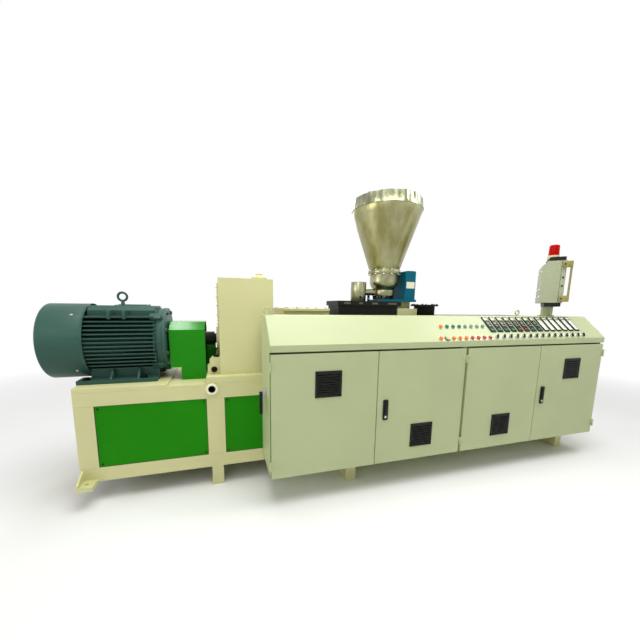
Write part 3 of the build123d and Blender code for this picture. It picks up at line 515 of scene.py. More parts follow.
def dress_nodes():
    """Each CAD piece gets its slot's finish and softened edges."""
    for node, piece in frame["nodes"].items():
        slot = node_slots[node]
        piece.data.materials.clear()
        piece.data.materials.append(own_looks.get(node, looks[slot]))
        if slot not in edge_widths:
            continue
        weld = piece.modifiers.new("weld", "WELD")
        weld.merge_threshold = weld_distance
        bevel = piece.modifiers.new("soft_edges", "BEVEL")
        bevel.width = edge_widths[slot]
        bevel.segments = bevel_steps
        bevel.limit_method = "ANGLE"
        bevel.angle_limit = bevel_angle
        bevel.harden_normals = True


def turned(profile, sides):
    """A form of (radius, height) pairs turned about its Z axis."""
    corners = []
    rings = []
    for radius, height in profile:
        count = sides if radius else 1
        rings.append([len(corners) + i for i in range(count)])
        for i in range(count):
            angle = 2 * pi * i / sides
            corners.append(Vector((radius * cos(angle), radius * sin(angle), height)))
    faces = []
    for low, high in zip(rings, rings[1:]):
        for i in range(sides):
            j = (i + 1) % sides
            loop = [low[i % len(low)], low[j % len(low)], high[j % len(high)], high[i % len(high)]]
            loop = list(dict.fromkeys(loop))
            if len(loop) > 2:
                faces.append(loop)
    return corners, faces


def prism(outline, height, edge=0.0):
    """A form of an outline raised along Z, with its edges rounded where asked."""
    form = bmesh.new()
    low = [form.verts.new((x, y, 0)) for x, y in outline]
    high = [form.verts.new((x, y, height)) for x, y in outline]
    form.faces.new(low[::-1])
    form.faces.new(high)
    for i in range(len(outline)):
        j = (i + 1) % len(outline)
        form.faces.new((low[i], low[j], high[j], high[i]))
    if edge:
        bmesh.ops.bevel(form, geom=form.edges[:], offset=edge, segments=bevel_steps, affect="EDGES",
                        profile=0.5)
    form.verts.index_update()
    corners = [corner.co.copy() for corner in form.verts]
    faces = [[corner.index for corner in face.verts] for face in form.faces]
    form.free()
    return corners, faces


def block(length, width, height, edge=0.0):
    """A block standing on its local XY plane."""
    x, y = length / 2, width / 2
    return prism([(-x, -y), (x, -y), (x, y), (-x, y)], height, edge)


def scaled(shares, radius, height):
    """An outline of shares as (radius, height) pairs."""
    return [(radius * wide, height * rise) for wide, rise in shares]


def drum(radius, height, sides, start=0.0):
    """A closed round form from one height to another."""
    return turned([(0, start), (radius, start), (radius, start + height), (0, start + height)], sides)


def stub(radius, height, edge, sides):
    """A round form on a seat, with its top edge broken by an inset and a drop."""
    inset, drop = edge
    return turned([(radius, 0), (radius, height - drop), (radius - inset, height), (0, height)], sides)


def hex_bolt(size):
    """A washer with a six-sided head, whose corners are at the given radius."""
    washer, washer_faces = turned(scaled(washer_shares, size, size), sides=20)
    head, head_faces = turned(scaled(hex_head_shares, size, size), sides=6)
    start = len(washer)
    return washer + head, washer_faces + [[start + i for i in face] for face in head_faces]


def cap_screw(radius):
    """A round head with a socket."""
    return turned(scaled(cap_screw_shares, radius, radius), sides=16)


def aim(place, direction):
    """A matrix that stands a form at a place, with its Z axis along a direction."""
    return moved(place) @ direction.to_track_quat("Z", "Y").to_matrix().to_4x4()


class Piece:
    """Small forms gathered into one mesh that rides on a body."""

    def __init__(self, name, slot, finish, body="machine"):
        self.name = name
        self.body = body
        self.slot = slot
        self.finishes = [finish]
        self.corners = []
        self.faces = []
        self.finish_rows = []

    def add(self, form, matrix, finish=None):
        """A form put in its place, in the piece's own finish or in the one that is given."""
        corners, faces = form
        start = len(self.corners)
        self.corners += [matrix @ corner for corner in corners]
        self.faces += [[start + i for i in face] for face in faces]
        finish = finish or self.finishes[0]
        if finish not in self.finishes:
            self.finishes.append(finish)
        self.finish_rows += [self.finishes.index(finish)] * len(faces)

    def add_each(self, form, places, direction, finish=None):
        for place in places:
            self.add(form, aim(place, direction), finish)

    def add_bolts(self, centre, axis, circle, count, size, start=0.0, finish=None):
        """A ring of bolts that face along its axis."""
        self.add_each(hex_bolt(size), ring_places(centre, axis, circle, count, start), axis, finish)

    def make(self, *nodes):
        """The mesh object, standing for the CAD nodes that are named."""
        mesh = bpy.data.meshes.new(self.name)
        mesh.from_pydata(self.corners, [], self.faces)
        for finish in self.finishes:
            mesh.materials.append(finish)
        mesh.polygons.foreach_set("material_index", self.finish_rows)
        mesh.shade_smooth()
        mesh.set_sharp_from_angle(angle=sharp_angle)
        piece = bpy.data.objects.new(self.name, mesh)
        bpy.context.scene.collection.objects.link(piece)
        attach(piece, self.body)
        if nodes:
            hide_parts(*nodes)


def ring_places(centre, axis, radius, count, start=0.0):
    """Places on a circle about an axis."""
    turn = axis.to_track_quat("Z", "Y")
    for i in range(count):
        angle = start + 2 * pi * i / count
        yield centre + turn @ Vector((radius * cos(angle), radius * sin(angle), 0))


def corner_places(left, right, bottom, top, inset, y):
    """The four corners of an upright rectangle, moved in by an inset."""
    for x in (left + inset, right - inset):
        for z in (bottom + inset, top - inset):
            yield Vector((x, y, z))


def middle_of(node):
    low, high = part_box(node)
    return (low + high) / 2


def size_of(node):
    low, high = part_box(node)
    return high - low


def foot_of(node):
    """The middle of a CAD piece's underside."""
    return middle_of(node) + DOWN * size_of(node).z / 2


def make_panel_trims():
    """Black strips round the green panels, painted shadow of the gaps at their edges, and the panels' corner
    screws.
    """
    low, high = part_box("side_panels")
    shadow_strips = Piece("panel_shadow_strips", "black_plastic", rubber_and_painted_shade)
    screws = Piece("panel_screws", "bare_steel", black_bolt)
    # Black strips on all four edges of each window: painted shadow of the panel gaps.
    flat = block(window_length, shadow_strip_width, shadow_strip_proud)
    upright = block(high.z - low.z, shadow_strip_width, shadow_strip_proud)
    quarter = Matrix.Rotation(pi / 2, 4, "Z")
    middle_z = (low.z + high.z) / 2
    for i in range(window_count):
        left = low.x + i * window_pitch
        right = left + window_length
        middle_x = (left + right) / 2
        for y, facing in ((low.y, FRONT), (high.y, REAR)):
            for z in (low.z + shadow_strip_width / 2, high.z - shadow_strip_width / 2):
                shadow_strips.add(flat, aim((middle_x, y, z), facing))
            for x in (left + shadow_strip_width / 2, right - shadow_strip_width / 2):
                shadow_strips.add(upright, aim((x, y, middle_z), facing) @ quarter)
            places = corner_places(left, right, low.z, high.z, panel_screw_inset, y)
            screws.add_each(cap_screw(panel_screw_radius), places, facing)
    shadow_strips.make()
    screws.make()


def make_lifting_shade_and_highlight():
    """A black sleeve through the lifting tube, painted shade in its bore, with a paler ring on each collar, a
    painted highlight on the collar's face.
    """
    low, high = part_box("frame_rails")
    lift_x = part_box("side_panels")[0].x + window_length + lifting_from_window
    lift_z = high.z - lifting_collar
    length = high.y - low.y
    inner = lifting_radius - lifting_shade_sleeve
    outer = lifting_radius - lifting_play
    rim = lifting_collar - lifting_play
    shade_and_highlight = Piece("lifting_shade_and_highlight", "black_plastic", rubber_and_painted_shade)
    # A black sleeve in the bore: painted shade.
    shade_sleeve = turned([(inner, 0), (outer, 0), (outer, length), (inner, length), (inner, 0)], sides=40)
    shade_and_highlight.add(shade_sleeve, aim((lift_x, low.y, lift_z), REAR))
    # A pale ring on each collar: a painted highlight on the collar's face.
    ring = turned([(rim, 0), (rim, lifting_highlight_ring - lifting_highlight_edge), (rim - lifting_highlight_edge, lifting_highlight_ring),
                   (inner, lifting_highlight_ring), (inner, 0)], sides=40)
    for y, facing in ((low.y, FRONT), (high.y, REAR)):
        shade_and_highlight.add(ring, aim((lift_x, y, lift_z), facing), collar_highlight_coat)
    shade_and_highlight.make()


def make_foot_bolts():
    low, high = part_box("motor_housing")
    foot_left = high.x - foot_length
    bolts = Piece("motor_foot_bolts", "bare_steel", black_bolt)
    for y in (-foot_bolt_y, foot_bolt_y):
        for x in (high.x - foot_bolt_from_right, foot_left + foot_bolt_from_left):
            bolts.add(hex_bolt(foot_bolt_size), aim((x, y, low.z + foot_thickness), UP))
    bolts.make()


def make_shield_details():
    """Bolts, flange ring and webs of the motor's end shield, and the ribs of its turret."""
    shield_low, shield_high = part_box("motor_end_shield")
    axis_z = middle_of("motor_fan_cowl").z
    painted = Piece("motor_shield_bolts", "teal_paint", looks["teal_paint"])
    ears = Vector((shield_low.x + ear_thickness, 0, axis_z))
    painted.add_bolts(ears, RIGHT, *ear_bolts, pi / ear_bolts[1])
    hub = Vector((shield_high.x, 0, axis_z))
    painted.add_bolts(hub, RIGHT, *shield_bolts)

    face = hub - RIGHT * flange_from_hub
    rim = flange_radius - flange_chamfer
    flange = turned([(flange_inner, 0), (rim, 0), (flange_radius, flange_chamfer),
                     (flange_radius, flange_width - flange_chamfer), (rim, flange_width),
                     (flange_inner, flange_width)], sides=96)
    painted.add(flange, aim(face - RIGHT * flange_width, RIGHT))
    circle = (flange_radius + flange_inner) / 2 + flange_bolt_outset
    painted.add_bolts(face, RIGHT, circle, *flange_bolts, pi / flange_bolts[0])
    web = block(web_thickness, web_length, web_height, web_round)
    behind = RIGHT * (web_length / 2 + flange_width)
    for place in ring_places(face, RIGHT, flange_radius - web_height, flange_bolts[0]):
        turn = (place - face).to_track_quat("Z", "X").to_matrix().to_4x4()
        painted.add(web, moved(place - behind) @ turn)

    low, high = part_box("motor_housing")
    rib = block(*turret_rib)
    for from_right in turret_ribs_from_right:
        for facing in (FRONT, REAR):
            place = (high.x - from_right, facing.y * turret_half, low.z + turret_rib_rise)
            painted.add(rib, aim(place, facing))
    painted.make()


def make_cowl_trim():
    """The band at the fan cowl's open end, and its screws."""
    radius = size_of("motor_fan_cowl").z / 2
    end = middle_of("motor_fan_cowl") + RIGHT * size_of("motor_fan_cowl").x / 2
    inner = radius - cowl_band_lap
    outer = radius + cowl_band_proud
    trim = Piece("motor_cowl_trim", "teal_paint", looks["teal_paint"])
    band = turned([(inner, 0), (outer, cowl_band_edge), (outer, cowl_band_width - cowl_band_edge),
                   (inner, cowl_band_width)], sides=96)
    trim.add(band, aim(end - RIGHT * cowl_band_width, RIGHT))
    centre = end - RIGHT * cowl_screw_from_edge
    for place in ring_places(centre, RIGHT, radius, cowl_screw_count, pi / cowl_screw_count):
        trim.add(cap_screw(cowl_screw_size), aim(place, place - centre), zinc_bolt)
    trim.make()


def make_motor_fan():
    """The fan behind the cowl's slots, which turns with the coupling."""
    start = middle_of("motor_fan_cowl")
    start.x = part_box("motor_fan_cowl")[0].x + fan_from_end
    fan = Piece("motor_fan", "black_plastic", looks["black_plastic"], "coupling")
    fan.add(drum(fan_hub, fan_depth, sides=36), aim(start, RIGHT))
    disc = drum(fan_radius, fan_disc, sides=64, start=fan_depth - fan_disc)
    fan.add(disc, aim(start, RIGHT))
    blade = block(fan_depth, fan_blade, fan_radius - fan_hub)
    centre = moved(start + RIGHT * fan_depth / 2)
    for i in range(fan_blade_count):
        turn = Matrix.Rotation(2 * pi * i / fan_blade_count, 4, "X")
        fan.add(blade, centre @ turn @ moved(UP * fan_hub))
    fan.make()


def make_lid_screws():
    low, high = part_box("motor_terminal_box")
    lid = Piece("terminal_lid_screws", "bare_steel", zinc_bolt)
    places = corner_places(low.x, high.x, low.z, high.z, lid_screw_inset, high.y)
    lid.add_each(cap_screw(lid_screw_radius), places, REAR)
    lid.make()


def make_gearbox_cover():
    """A bolted cover on the motor side, and the bolts of the two lugs."""
    low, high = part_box("gearbox_housing")
    case_left = high.x - case_length
    foot_z = low.z + cover_margin
    height = high.z - low.z - 2 * cover_margin
    half = high.y - cover_margin
    cover = Piece("gearbox_covers", "cream_paint", looks["cream_paint"])
    outline = [(cover_low, -half), (height, -half), (height, half), (cover_low, half)]
    upright = Matrix(((0, 0, -1), (0, 1, 0), (1, 0, 0))).to_4x4()
    cover.add(prism(outline, cover_plate, cover_round), moved((case_left, 0, foot_z)) @ upright)
    pitch = (height - cover_low - 2 * cover_bolt_inset) / (cover_bolt_count - 1)
    for i in range(cover_bolt_count):
        z = foot_z + cover_low + cover_bolt_inset + i * pitch
        for y in (-half + cover_bolt_inset, half - cover_bolt_inset):
            cover.add(hex_bolt(cover_bolt_size), aim((case_left - cover_plate, y, z), LEFT), zinc_bolt)
    lug_y = low.y + lug_inset + lug_half
    for y, facing in ((lug_y, FRONT), (-lug_y, REAR)):
        side = (low.x + lug_bolt_from_left, y + facing.y * lug_half, low.z + lug_bolt_rise)
        cover.add(hex_bolt(lug_bolt_size), aim(side, facing), black_bolt)
        top = (case_left - lug_top_bolt_gap, y, low.z + lug_height)
        cover.add(hex_bolt(lug_bolt_size), aim(top, UP), black_bolt)
    cover.make()


def make_breather_cap():
    radius = size_of("gearbox_breather").x / 2
    height = size_of("gearbox_breather").z
    foot = foot_of("gearbox_breather")
    breather = Piece("breather_cap", "cream_paint", looks["cream_paint"])
    dome = turned(scaled(breather_shares, radius, height), sides=40)
    breather.add(dome, moved(foot))
    rim = foot + UP * height * breather_rim_share
    breather.add_bolts(rim, UP, radius * breather_bolt_share, *breather_bolts, finish=zinc_bolt)
    breather.make("gearbox_breather")


def make_coupling_bolts():
    size = size_of("drive_coupling")
    face = middle_of("drive_coupling") + LEFT * size.x / 2
    ring = Piece("coupling_bolts", "black_steel", zinc_bolt, "coupling")
    ring.add_bolts(face, LEFT, size.z / 2 * coupling_bolt_share, *coupling_bolts)
    ring.make()


def make_distribution_bolts():
    low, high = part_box("distribution_box")
    bolts = Piece("distribution_bolts", "bare_steel", zinc_bolt)
    first = high.x - box_length + box_bolt_inset
    pitch = (box_length - 2 * box_bolt_inset) / (box_bolt_count - 1)
    for i in range(box_bolt_count):
        for y in (low.y + box_bolt_from_side, high.y - box_bolt_from_side):
            bolts.add(hex_bolt(box_bolt_size), aim((first + i * pitch, y, high.z), UP))
    bolts.make()


def make_hopper_band():
    size = size_of("hopper_collar")
    band = Piece("hopper_band", "stainless", pleated_sheet)
    sheet = pleated_band(size.x / 2 - collar_bead, size.z)
    band.add(sheet, moved(foot_of("hopper_collar")))
    band.make("hopper_collar")


def pleated_band(radius, height):
    """A sheet band, round on the cone and turning into flats with pleats at its rim."""
    count = collar_facets * collar_steps
    profile = [(-collar_sheet, -collar_bead), (collar_bead, -collar_bead / 2),
               (collar_bead, collar_bead / 2), (0, collar_bead)]
    profile += [(0, height * (i + 1) / collar_rows) for i in range(collar_rows)]
    profile += [(-collar_sheet, height), (-collar_sheet, collar_bead)]
    corners = []
    for offset, z in profile:
        share = max(0.0, min(1.0, z / height))
        growth = min(1.0, share / pleat_growth_share)
        for i in range(count):
            angle = 2 * pi * i / count
            across = (i % collar_steps) / collar_steps - 0.5
            flat = cos(pi / collar_facets) / cos(2 * pi / collar_facets * across)
            waves = sin(pleat_waves[0] * angle) + sin(pleat_waves[1] * angle + pleat_phase)
            pleat = pleat_depth * (waves - 2) / 2
            out = (radius - collar_taper * share) * (1 + (flat - 1) * share) + pleat * growth + offset
            corners.append(Vector((out * cos(angle), out * sin(angle), z)))
    rows = len(profile)
    faces = []
    for row in range(rows):
        after = (row + 1) % rows
        for i in range(count):
            j = (i + 1) % count
            faces.append([row * count + i, row * count + j, after * count + j, after * count + i])
    return corners, faces


def make_hopper_bolts():
    """Bolts of the bowl's flange, the plate on the column and the feeder's fittings, as one piece."""
    low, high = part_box("feeder_bowl")
    centre = Vector((middle_of("hopper_collar").x, 0, high.z))
    circle = (high.x - low.x) / 2 - bowl_bolt_inset
    bolts = Piece("hopper_bolts", "bare_steel", zinc_bolt)
    bolts.add_bolts(centre, UP, circle, *bowl_bolts)
    bolts.add_bolts(centre + DOWN * bowl_flange, DOWN, circle, *bowl_bolts)
    stand_low, stand_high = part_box("feeder_stand")
    plate_x = stand_high.x - column_width / 2
    plate = (plate_x, stand_low.y + column_inset, stand_low.z + column_plate_rise)
    bolts.add(block(*column_plate_size), aim(plate, FRONT), pale_plate)
    add_throat_bolts(bolts, centre.x, stand_low.z)
    add_motor_details(bolts)
    add_probe(bolts, stand_low)
    bolts.make()


def add_throat_bolts(bolts, centre_x, deck):
    """Dark bolts and studs below the throat, and bolts on the stand's plate."""
    stud = turned([(stud_radius, 0), (stud_radius, stud_length), (0, stud_length)], sides=12)
    bolt = hex_bolt(throat_bolt_size)
    throat = Vector((centre_x, 0, deck + throat_rise))
    for form in (bolt, stud):
        bolts.add_each(form, ring_places(throat, UP, *throat_ring), DOWN, black_bolt)
    foot = Vector((centre_x, 0, deck + stand_plate))
    for place in ring_places(foot, UP, *throat_ring):
        if place.x > centre_x - stand_plate_reach:
            bolts.add(bolt, aim(place, UP), black_bolt)


def add_motor_details(bolts):
    """A bolt and a seam on the feeder motor's can."""
    low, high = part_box("feeder_drive")
    axis = Vector((low.x + feeder_radius, 0, 0))
    out = Vector((sin(feeder_bolt_turn), -cos(feeder_bolt_turn), 0))
    place = axis + out * feeder_radius + UP * (low.z + feeder_bolt_rise)
    bolts.add(hex_bolt(feeder_bolt_size), aim(place, out), black_bolt)
    seam = block(feeder_seam_width, high.z - low.z, feeder_seam_proud)
    out = Vector((sin(feeder_seam_turn), -cos(feeder_seam_turn), 0))
    place = axis + out * feeder_radius + UP * (low.z + high.z) / 2
    turn = Matrix.Rotation(feeder_seam_turn, 4, "Z") @ Matrix.Rotation(pi / 2, 4, "X")
    bolts.add(seam, moved(place) @ turn, black_bolt)


def add_probe(bolts, stand_low):
    """A small probe with a blue cap beside the feeder motor."""
    foot = Vector((stand_low.x - probe_from_stand, probe_y, stand_low.z))
    bolts.add(stub(*probe_form, sides=20), moved(foot), black_bolt)
    place = foot + FRONT * probe_cap_offset + UP * probe_cap_rise
    bolts.add(stub(*probe_cap_form, sides=20), aim(place, FRONT), probe_blue)


def make_vent_bolts():
    top = middle_of("vent_port") + UP * size_of("vent_port").z / 2
    ring = Piece("vent_bolts", "bare_steel", black_bolt)
    ring.add_bolts(top, UP, *vent_bolts)
    ring.make()


def make_platform_marks():
    """Pale slots along the feed platform's front."""
    low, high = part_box("feed_platform")
    marks = Piece("platform_marks", "black_plastic", pale_mark)
    for share, length in zip(mark_place_shares, mark_lengths):
        place = (low.x + share * (high.x - low.x), low.y, low.z + mark_rise)
        marks.add(block(length, *mark_section), aim(place, FRONT))
    marks.make()


def make_casing_louvres():
    """Louvres and screws on the covers at the casing's rear."""
    low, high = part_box("barrel_casing")
    cover = Piece("casing_louvres", "black_steel", looks["black_steel"])
    section = (high.x - low.x) / casing_sections
    louvre = prism([(0, 0), (louvre_proud, 0), (0, louvre_height)], louvre_length, louvre_round)
    stand = Matrix(((0, 0, 1), (1, 0, 0), (0, 1, 0))).to_4x4()
    first_z = (low.z + high.z) / 2 - (louvre_count - 1) / 2 * louvre_pitch
    for s in range(casing_sections):
        left = low.x + s * section
        louvre_left = left + (section - louvre_length) / 2
        for i in range(louvre_count):
            place = (louvre_left, high.y, first_z + i * louvre_pitch)
            cover.add(louvre, moved(place) @ stand)
        places = corner_places(left, left + section, low.z, high.z, casing_screw_inset, high.y)
        cover.add_each(cap_screw(casing_screw_radius), places, REAR, black_bolt)
    cover.make()


def on_console(from_left, rise_share):
    """A place on the slope, with local Z standing off it and local Y running up it."""
    low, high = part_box("console_slope")
    place = (low.x + from_left, low.y + slope_run * rise_share, high.z - slope_rise * (1 - rise_share))
    return moved(place) @ Matrix.Rotation(slope_angle, 4, "X")


def make_console_lamps():
    """Lamps in metal bezels; the white one's bezel is black."""
    colours = {"O": orange, "G": green_lamp, "P": pale_lamp, "W": white_lamp, "R": red_lamp}
    lamps = Piece("console_buttons", "grey_plastic", zinc_bolt)
    bezel = turned([(bezel_radius, 0), (bezel_radius, bezel_height - bezel_edge),
                    (bezel_radius - bezel_edge, bezel_height),
                    (lamp_radius, bezel_height), (lamp_radius, lamp_well)], sides=28)
    cap = turned(scaled(cap_shares, lamp_radius, cap_height), sides=28)
    for row, rise_share in zip(lamp_rows, lamp_rise_shares):
        for i, letter in enumerate(reversed(row)):
            place = on_console(lamp_last_from_left - i * lamp_pitch, rise_share)
            lamps.add(bezel, place, looks["black_plastic"] if letter == "W" else None)
            lamps.add(cap, place, colours[letter])
    lamps.make("console_lamps")


def make_console_meters():
    """Lit meters with a dark window and coloured digits, then blank ones."""
    colours = {"G": meter_green, "R": meter_red, "T": meter_teal}
    meters = Piece("console_instruments", "black_plastic", looks["black_plastic"])
    width, height, proud = meter_size
    case = block(width, height, proud, meter_round)
    line = block(width * line_size_shares[0], height * line_size_shares[1], meter_line)
    for i in range(meter_count):
        place = on_console(meter_first_from_left + i * meter_pitch, meter_rise_share)
        meters.add(case, place)
        bands = zip(blank_band_shares, (meter_pale, meter_white))
        if i < len(meter_digits):
            bands = zip(meter_band_shares, (meter_pale, meter_dark, colours[meter_digits[i]]))
            for rise_share in line_rise_shares:
                spot = moved((0, rise_share * height, proud + meter_face))
                meters.add(line, place @ spot, meter_pale)
        for (rise_share, height_share), finish in bands:
            face = block(width - 2 * meter_rim, height * height_share, meter_face, meter_face_round)
            meters.add(face, place @ moved((0, rise_share * height, proud)), finish)
    meters.make("console_meters")


def make_console_knobs():
    """Selector knobs with a grip and a white pointer."""
    knobs = Piece("console_selectors", "black_plastic", looks["black_plastic"])
    plate = stub(knob_radius + knob_plate_edge[0], knob_plate, knob_plate_edge, sides=28)
    wide, narrow = [knob_radius * share for share in knob_collar_shares]
    collar = turned([(wide, knob_plate), (narrow, knob_collar_top), (0, knob_collar_top)], sides=28)
    grip = block(*knob_grip)
    pointer = block(*pointer_size)
    for i in range(knob_count):
        place = on_console(knob_first_from_left + i * knob_pitch, knob_rise_share)
        turn = place @ Matrix.Rotation(knob_turn, 4, "Z")
        knobs.add(plate, place, zinc_bolt)
        knobs.add(collar, place, looks["grey_plastic"])
        knobs.add(grip, turn @ moved((0, 0, knob_grip_rise)))
        spot = moved((0, pointer_offset, pointer_rise))
        knobs.add(pointer, turn @ spot, meter_white)
    knobs.make("console_knobs")


def make_beacon_dome():
    """A ribbed lens with a rounded top."""
    radius = size_of("beacon_lens").x / 2
    height = size_of("beacon_lens").z
    foot = height * beacon_foot_share
    step = height * beacon_rib_share / beacon_ribs
    profile = [(radius, 0), (radius, foot)]
    for i in range(beacon_ribs):
        start = foot + i * step
        wide = radius * (1 - beacon_taper_share * start / height)
        profile.append((wide - beacon_groove, start + step * beacon_groove_share))
        profile.append((wide, start + step * beacon_ridge_share))
        profile.append((wide, start + step))
    wide = profile[-1][0]
    for i in range(beacon_steps):
        angle = pi / 2 * (i + 1) / (beacon_steps + 1)
        profile.append((wide - beacon_round * (1 - cos(angle)), height - beacon_round * (1 - sin(angle))))
    profile.append((0, height))
    dome = Piece("beacon_dome", "red_lens", looks["red_lens"], "operator_panel")
    dome.add(turned(profile, sides=48), moved(foot_of("beacon_lens")))
    dome.make("beacon_lens")


def panel_frame():
    """The operator panel's own axes: X across its face, and its post at the origin."""
    post = middle_of("beacon_lens")
    return moved((post.x, post.y, 0)) @ Matrix.Rotation(panel_turn, 4, "Z")


def make_panel_face():
    """The screen, the seams and edge screws on both sides, and the bolts at the rear."""
    low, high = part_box("hmi_housing")
    own = panel_frame()
    middle_z = (low.z + high.z) / 2
    height = high.z - low.z
    front = -panel_depth / 2
    upright = Matrix.Rotation(pi / 2, 4, "X")
    face = Piece("panel_face", "black_plastic", screen_glass, "operator_panel")
    glass = block(panel_width - 2 * panel_bezel, height - 2 * panel_bezel, *glass_form)
    face.add(glass, own @ moved((0, front + panel_recess, middle_z)) @ upright)
    seam = block(panel_seam_width, height, panel_seam_proud)
    for side in (-1, 1):
        x = side * panel_width / 2
        turn = Matrix.Rotation(side * pi / 2, 4, "Z") @ upright
        spot = moved((x, front + panel_seam, middle_z))
        face.add(seam, own @ spot @ turn, looks["black_plastic"])
        for z in (middle_z - panel_screw_spread, middle_z + panel_screw_spread):
            screw = Vector((x, front + panel_seam / 2, z))
            place = own @ aim(screw, RIGHT * side)
            face.add(cap_screw(panel_edge_screw), place, looks["black_plastic"])
    rear_heights = [low.z + rise for rise in rear_bolts_from_low] + [high.z - rear_bolt_from_top]
    for x in (-panel_width / 2 + rear_bolt_inset, panel_width / 2 - rear_bolt_inset):
        for z in rear_heights:
            bolt = Vector((x, panel_depth / 2, z))
            face.add(hex_bolt(rear_bolt_size), own @ aim(bolt, REAR), zinc_bolt)
    face.make()


def make_panel_grips():
    """Two grips that stand forward of the panel's face."""
    low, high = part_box("hmi_housing")
    own = panel_frame()
    front = -panel_depth / 2
    length = high.z - low.z - 2 * grip_from_end - 2 * grip_block
    grips = Piece("panel_grips", "olive_plastic", looks["olive_plastic"], "operator_panel")
    foot = block(grip_thickness, grip_reach + grip_lap, grip_block, grip_round)
    bar = drum(grip_radius, length, sides=20)
    for side in (-1, 1):
        x = side * (panel_width + grip_thickness) / 2
        for z in (low.z + grip_from_end, high.z - grip_from_end - grip_block):
            grips.add(foot, own @ moved((x, front + (grip_lap - grip_reach) / 2, z)))
            screw = Vector((x + side * grip_thickness / 2, front + grip_lap / 2, z + grip_block / 2))
            grips.add(cap_screw(grip_screw_radius), own @ aim(screw, RIGHT * side), black_bolt)
        place = (x, front - grip_reach + grip_radius, low.z + grip_from_end + grip_block)
        grips.add(bar, own @ moved(place))
    grips.make("hmi_handles")


def make_door_screws(number):
    """Screws on a door's vent frame, and the key and lever of its latch."""
    low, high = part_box(f"door_{number}_fittings")
    vent_width, vent_height = vent_size
    vent_low = low.z if number in low_vent_doors else high.z - vent_height
    face = high.y - vent_proud
    screws = Piece(f"door_{number}_screws", "bare_steel", black_bolt, f"door_{number}")
    vent_top = vent_low + vent_height
    places = corner_places(high.x - vent_width, high.x, vent_low, vent_top, vent_screw_inset, face)
    screws.add_each(cap_screw(vent_screw_radius), places, FRONT)
    if number in latched_doors:
        latch_low = low.z if number in low_latch_doors else high.z - latch_height
        latch_x = low.x + latch_width / 2
        width_share, height_share = lever_size_shares
        lever = block(latch_width * width_share, latch_height * height_share, lever_proud, lever_round)
        lever_z = latch_low + latch_height * lever_place_share
        screws.add(lever, aim((latch_x, low.y, lever_z), FRONT), looks["black_plastic"])
        key = turned(scaled(key_shares, key_radius, key_height), sides=24)
        key_z = latch_low + latch_height * key_place_share
        screws.add(key, aim((latch_x, low.y, key_z), FRONT), zinc_bolt)
    screws.make()


def make_gasket(number):
    """The soft strip round the inside of a door, whose box has its hinge knuckles on one side."""
    low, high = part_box(f"door_{number}")
    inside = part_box(f"door_{number}_fittings")[1].y + door_sheet
    hung_left = number in left_hung_doors
    left = low.x + gasket_inset + (knuckle_reach if hung_left else 0)
    right = high.x - gasket_inset - (0 if hung_left else knuckle_reach)
    bottom = low.z + gasket_inset
    top = high.z - gasket_inset
    strip = Piece(f"door_{number}_gasket", "black_plastic", rubber_and_painted_shade, f"door_{number}")
    level = block(right - left, gasket_width, gasket_depth, gasket_round)
    upright = block(gasket_width, top - bottom, gasket_depth, gasket_round)
    for z in (bottom, top):
        strip.add(level, aim(((left + right) / 2, inside, z), REAR))
    for x in (left, right):
        strip.add(upright, aim((x, inside, (bottom + top) / 2), REAR))
    strip.make()


def make_stage():
    """A pale floor and a white surround that metal reflects as well."""
    world = bpy.data.worlds.new("studio")
    bpy.context.scene.world = world
    world.use_nodes = True
    tree = world.node_tree
    path = tree.nodes.new("ShaderNodeLightPath")
    rays = path.outputs["Is Camera Ray"]
    for kind in ("Is Glossy Ray", "Is Transmission Ray"):
        either = tree.nodes.new("ShaderNodeMath")
        either.operation = "MAXIMUM"
        tree.links.new(rays, either.inputs[0])
        tree.links.new(path.outputs[kind], either.inputs[1])
        rays = either.outputs["Value"]
    sky = tree.nodes["Background"]
    sky.inputs["Color"].default_value = white
    tree.links.new(spread(tree, rays, world_strength, 1.0), sky.inputs["Strength"])

    ground = bpy.data.meshes.new("floor")
    reach = floor_reach
    ground.from_pydata([(-reach, -reach, 0), (reach, -reach, 0), (reach, reach, 0), (-reach, reach, 0)], [],
                       [(0, 1, 2, 3)])
    ground.materials.append(floor_look())
    floor = bpy.data.objects.new("floor", ground)
    bpy.context.scene.collection.objects.link(floor)

    for name, place, size, power in studio_lamps:
        data = bpy.data.lights.new(name, "AREA")
        data.shape = "DISK"
        data.size = size
        data.energy = power
        lamp = bpy.data.objects.new(name, data)
        bpy.context.scene.collection.objects.link(lamp)
        lamp.matrix_world = aim(Vector(place), Vector(place) - lamp_target)


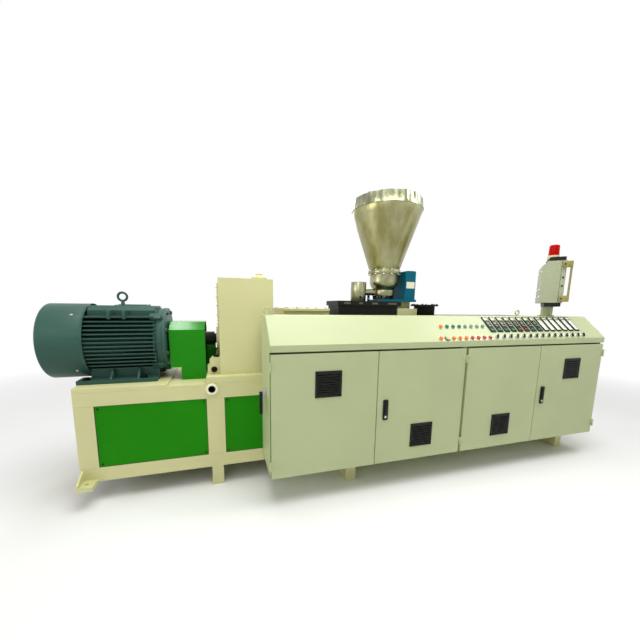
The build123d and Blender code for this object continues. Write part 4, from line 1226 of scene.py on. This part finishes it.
def floor_look():
    """Pale floor that turns to plain white far from the machine."""
    made, tree, bsdf = shader("pale_floor")
    tone = noise(tree, floor_tone_scale)
    tree.links.new(ramp(tree, tone, *floor_tones), bsdf.inputs["Base Color"])
    bsdf.inputs["Roughness"].default_value = floor_roughness
    place = tree.nodes.new("ShaderNodeTexCoord")
    length = tree.nodes.new("ShaderNodeVectorMath")
    length.operation = "LENGTH"
    tree.links.new(place.outputs["Object"], length.inputs[0])
    fade = tree.nodes.new("ShaderNodeMapRange")
    fade.inputs["From Min"].default_value = floor_fade[0]
    fade.inputs["From Max"].default_value = floor_fade[1]
    tree.links.new(length.outputs["Value"], fade.inputs["Value"])
    glow = tree.nodes.new("ShaderNodeEmission")
    glow.inputs["Color"].default_value = white
    mix = tree.nodes.new("ShaderNodeMixShader")
    tree.links.new(fade.outputs["Result"], mix.inputs["Fac"])
    tree.links.new(bsdf.outputs["BSDF"], mix.inputs[1])
    tree.links.new(glow.outputs["Emission"], mix.inputs[2])
    tree.links.new(mix.outputs["Shader"], tree.nodes["Material Output"].inputs["Surface"])
    return made


def make_camera():
    """The photograph's place and direction."""
    data = bpy.data.cameras.new("photo_camera")
    data.lens = camera_lens
    data.sensor_width = camera_sensor
    data.shift_x, data.shift_y = camera_shift
    data.clip_start, data.clip_end = camera_range
    camera = bpy.data.objects.new("photo_camera", data)
    bpy.context.scene.collection.objects.link(camera)
    turn = Matrix.Rotation(-camera_yaw, 4, "Z") @ Matrix.Rotation(pi / 2 - camera_pitch, 4, "X")
    camera.matrix_world = moved(camera_place) @ turn @ Matrix.Rotation(camera_roll, 4, "Z")
    bpy.context.scene.camera = camera


dress_nodes()
make_panel_trims()
make_lifting_shade_and_highlight()
make_foot_bolts()
make_shield_details()
make_cowl_trim()
make_motor_fan()
make_lid_screws()
make_gearbox_cover()
make_breather_cap()
make_coupling_bolts()
make_distribution_bolts()
make_hopper_band()
make_hopper_bolts()
make_vent_bolts()
make_platform_marks()
make_casing_louvres()
make_console_lamps()
make_console_meters()
make_console_knobs()
make_beacon_dome()
make_panel_face()
make_panel_grips()
for number in door_numbers:
    make_door_screws(number)
    make_gasket(number)
make_stage()
make_camera()
bpy.context.scene.view_settings.view_transform = "Standard"
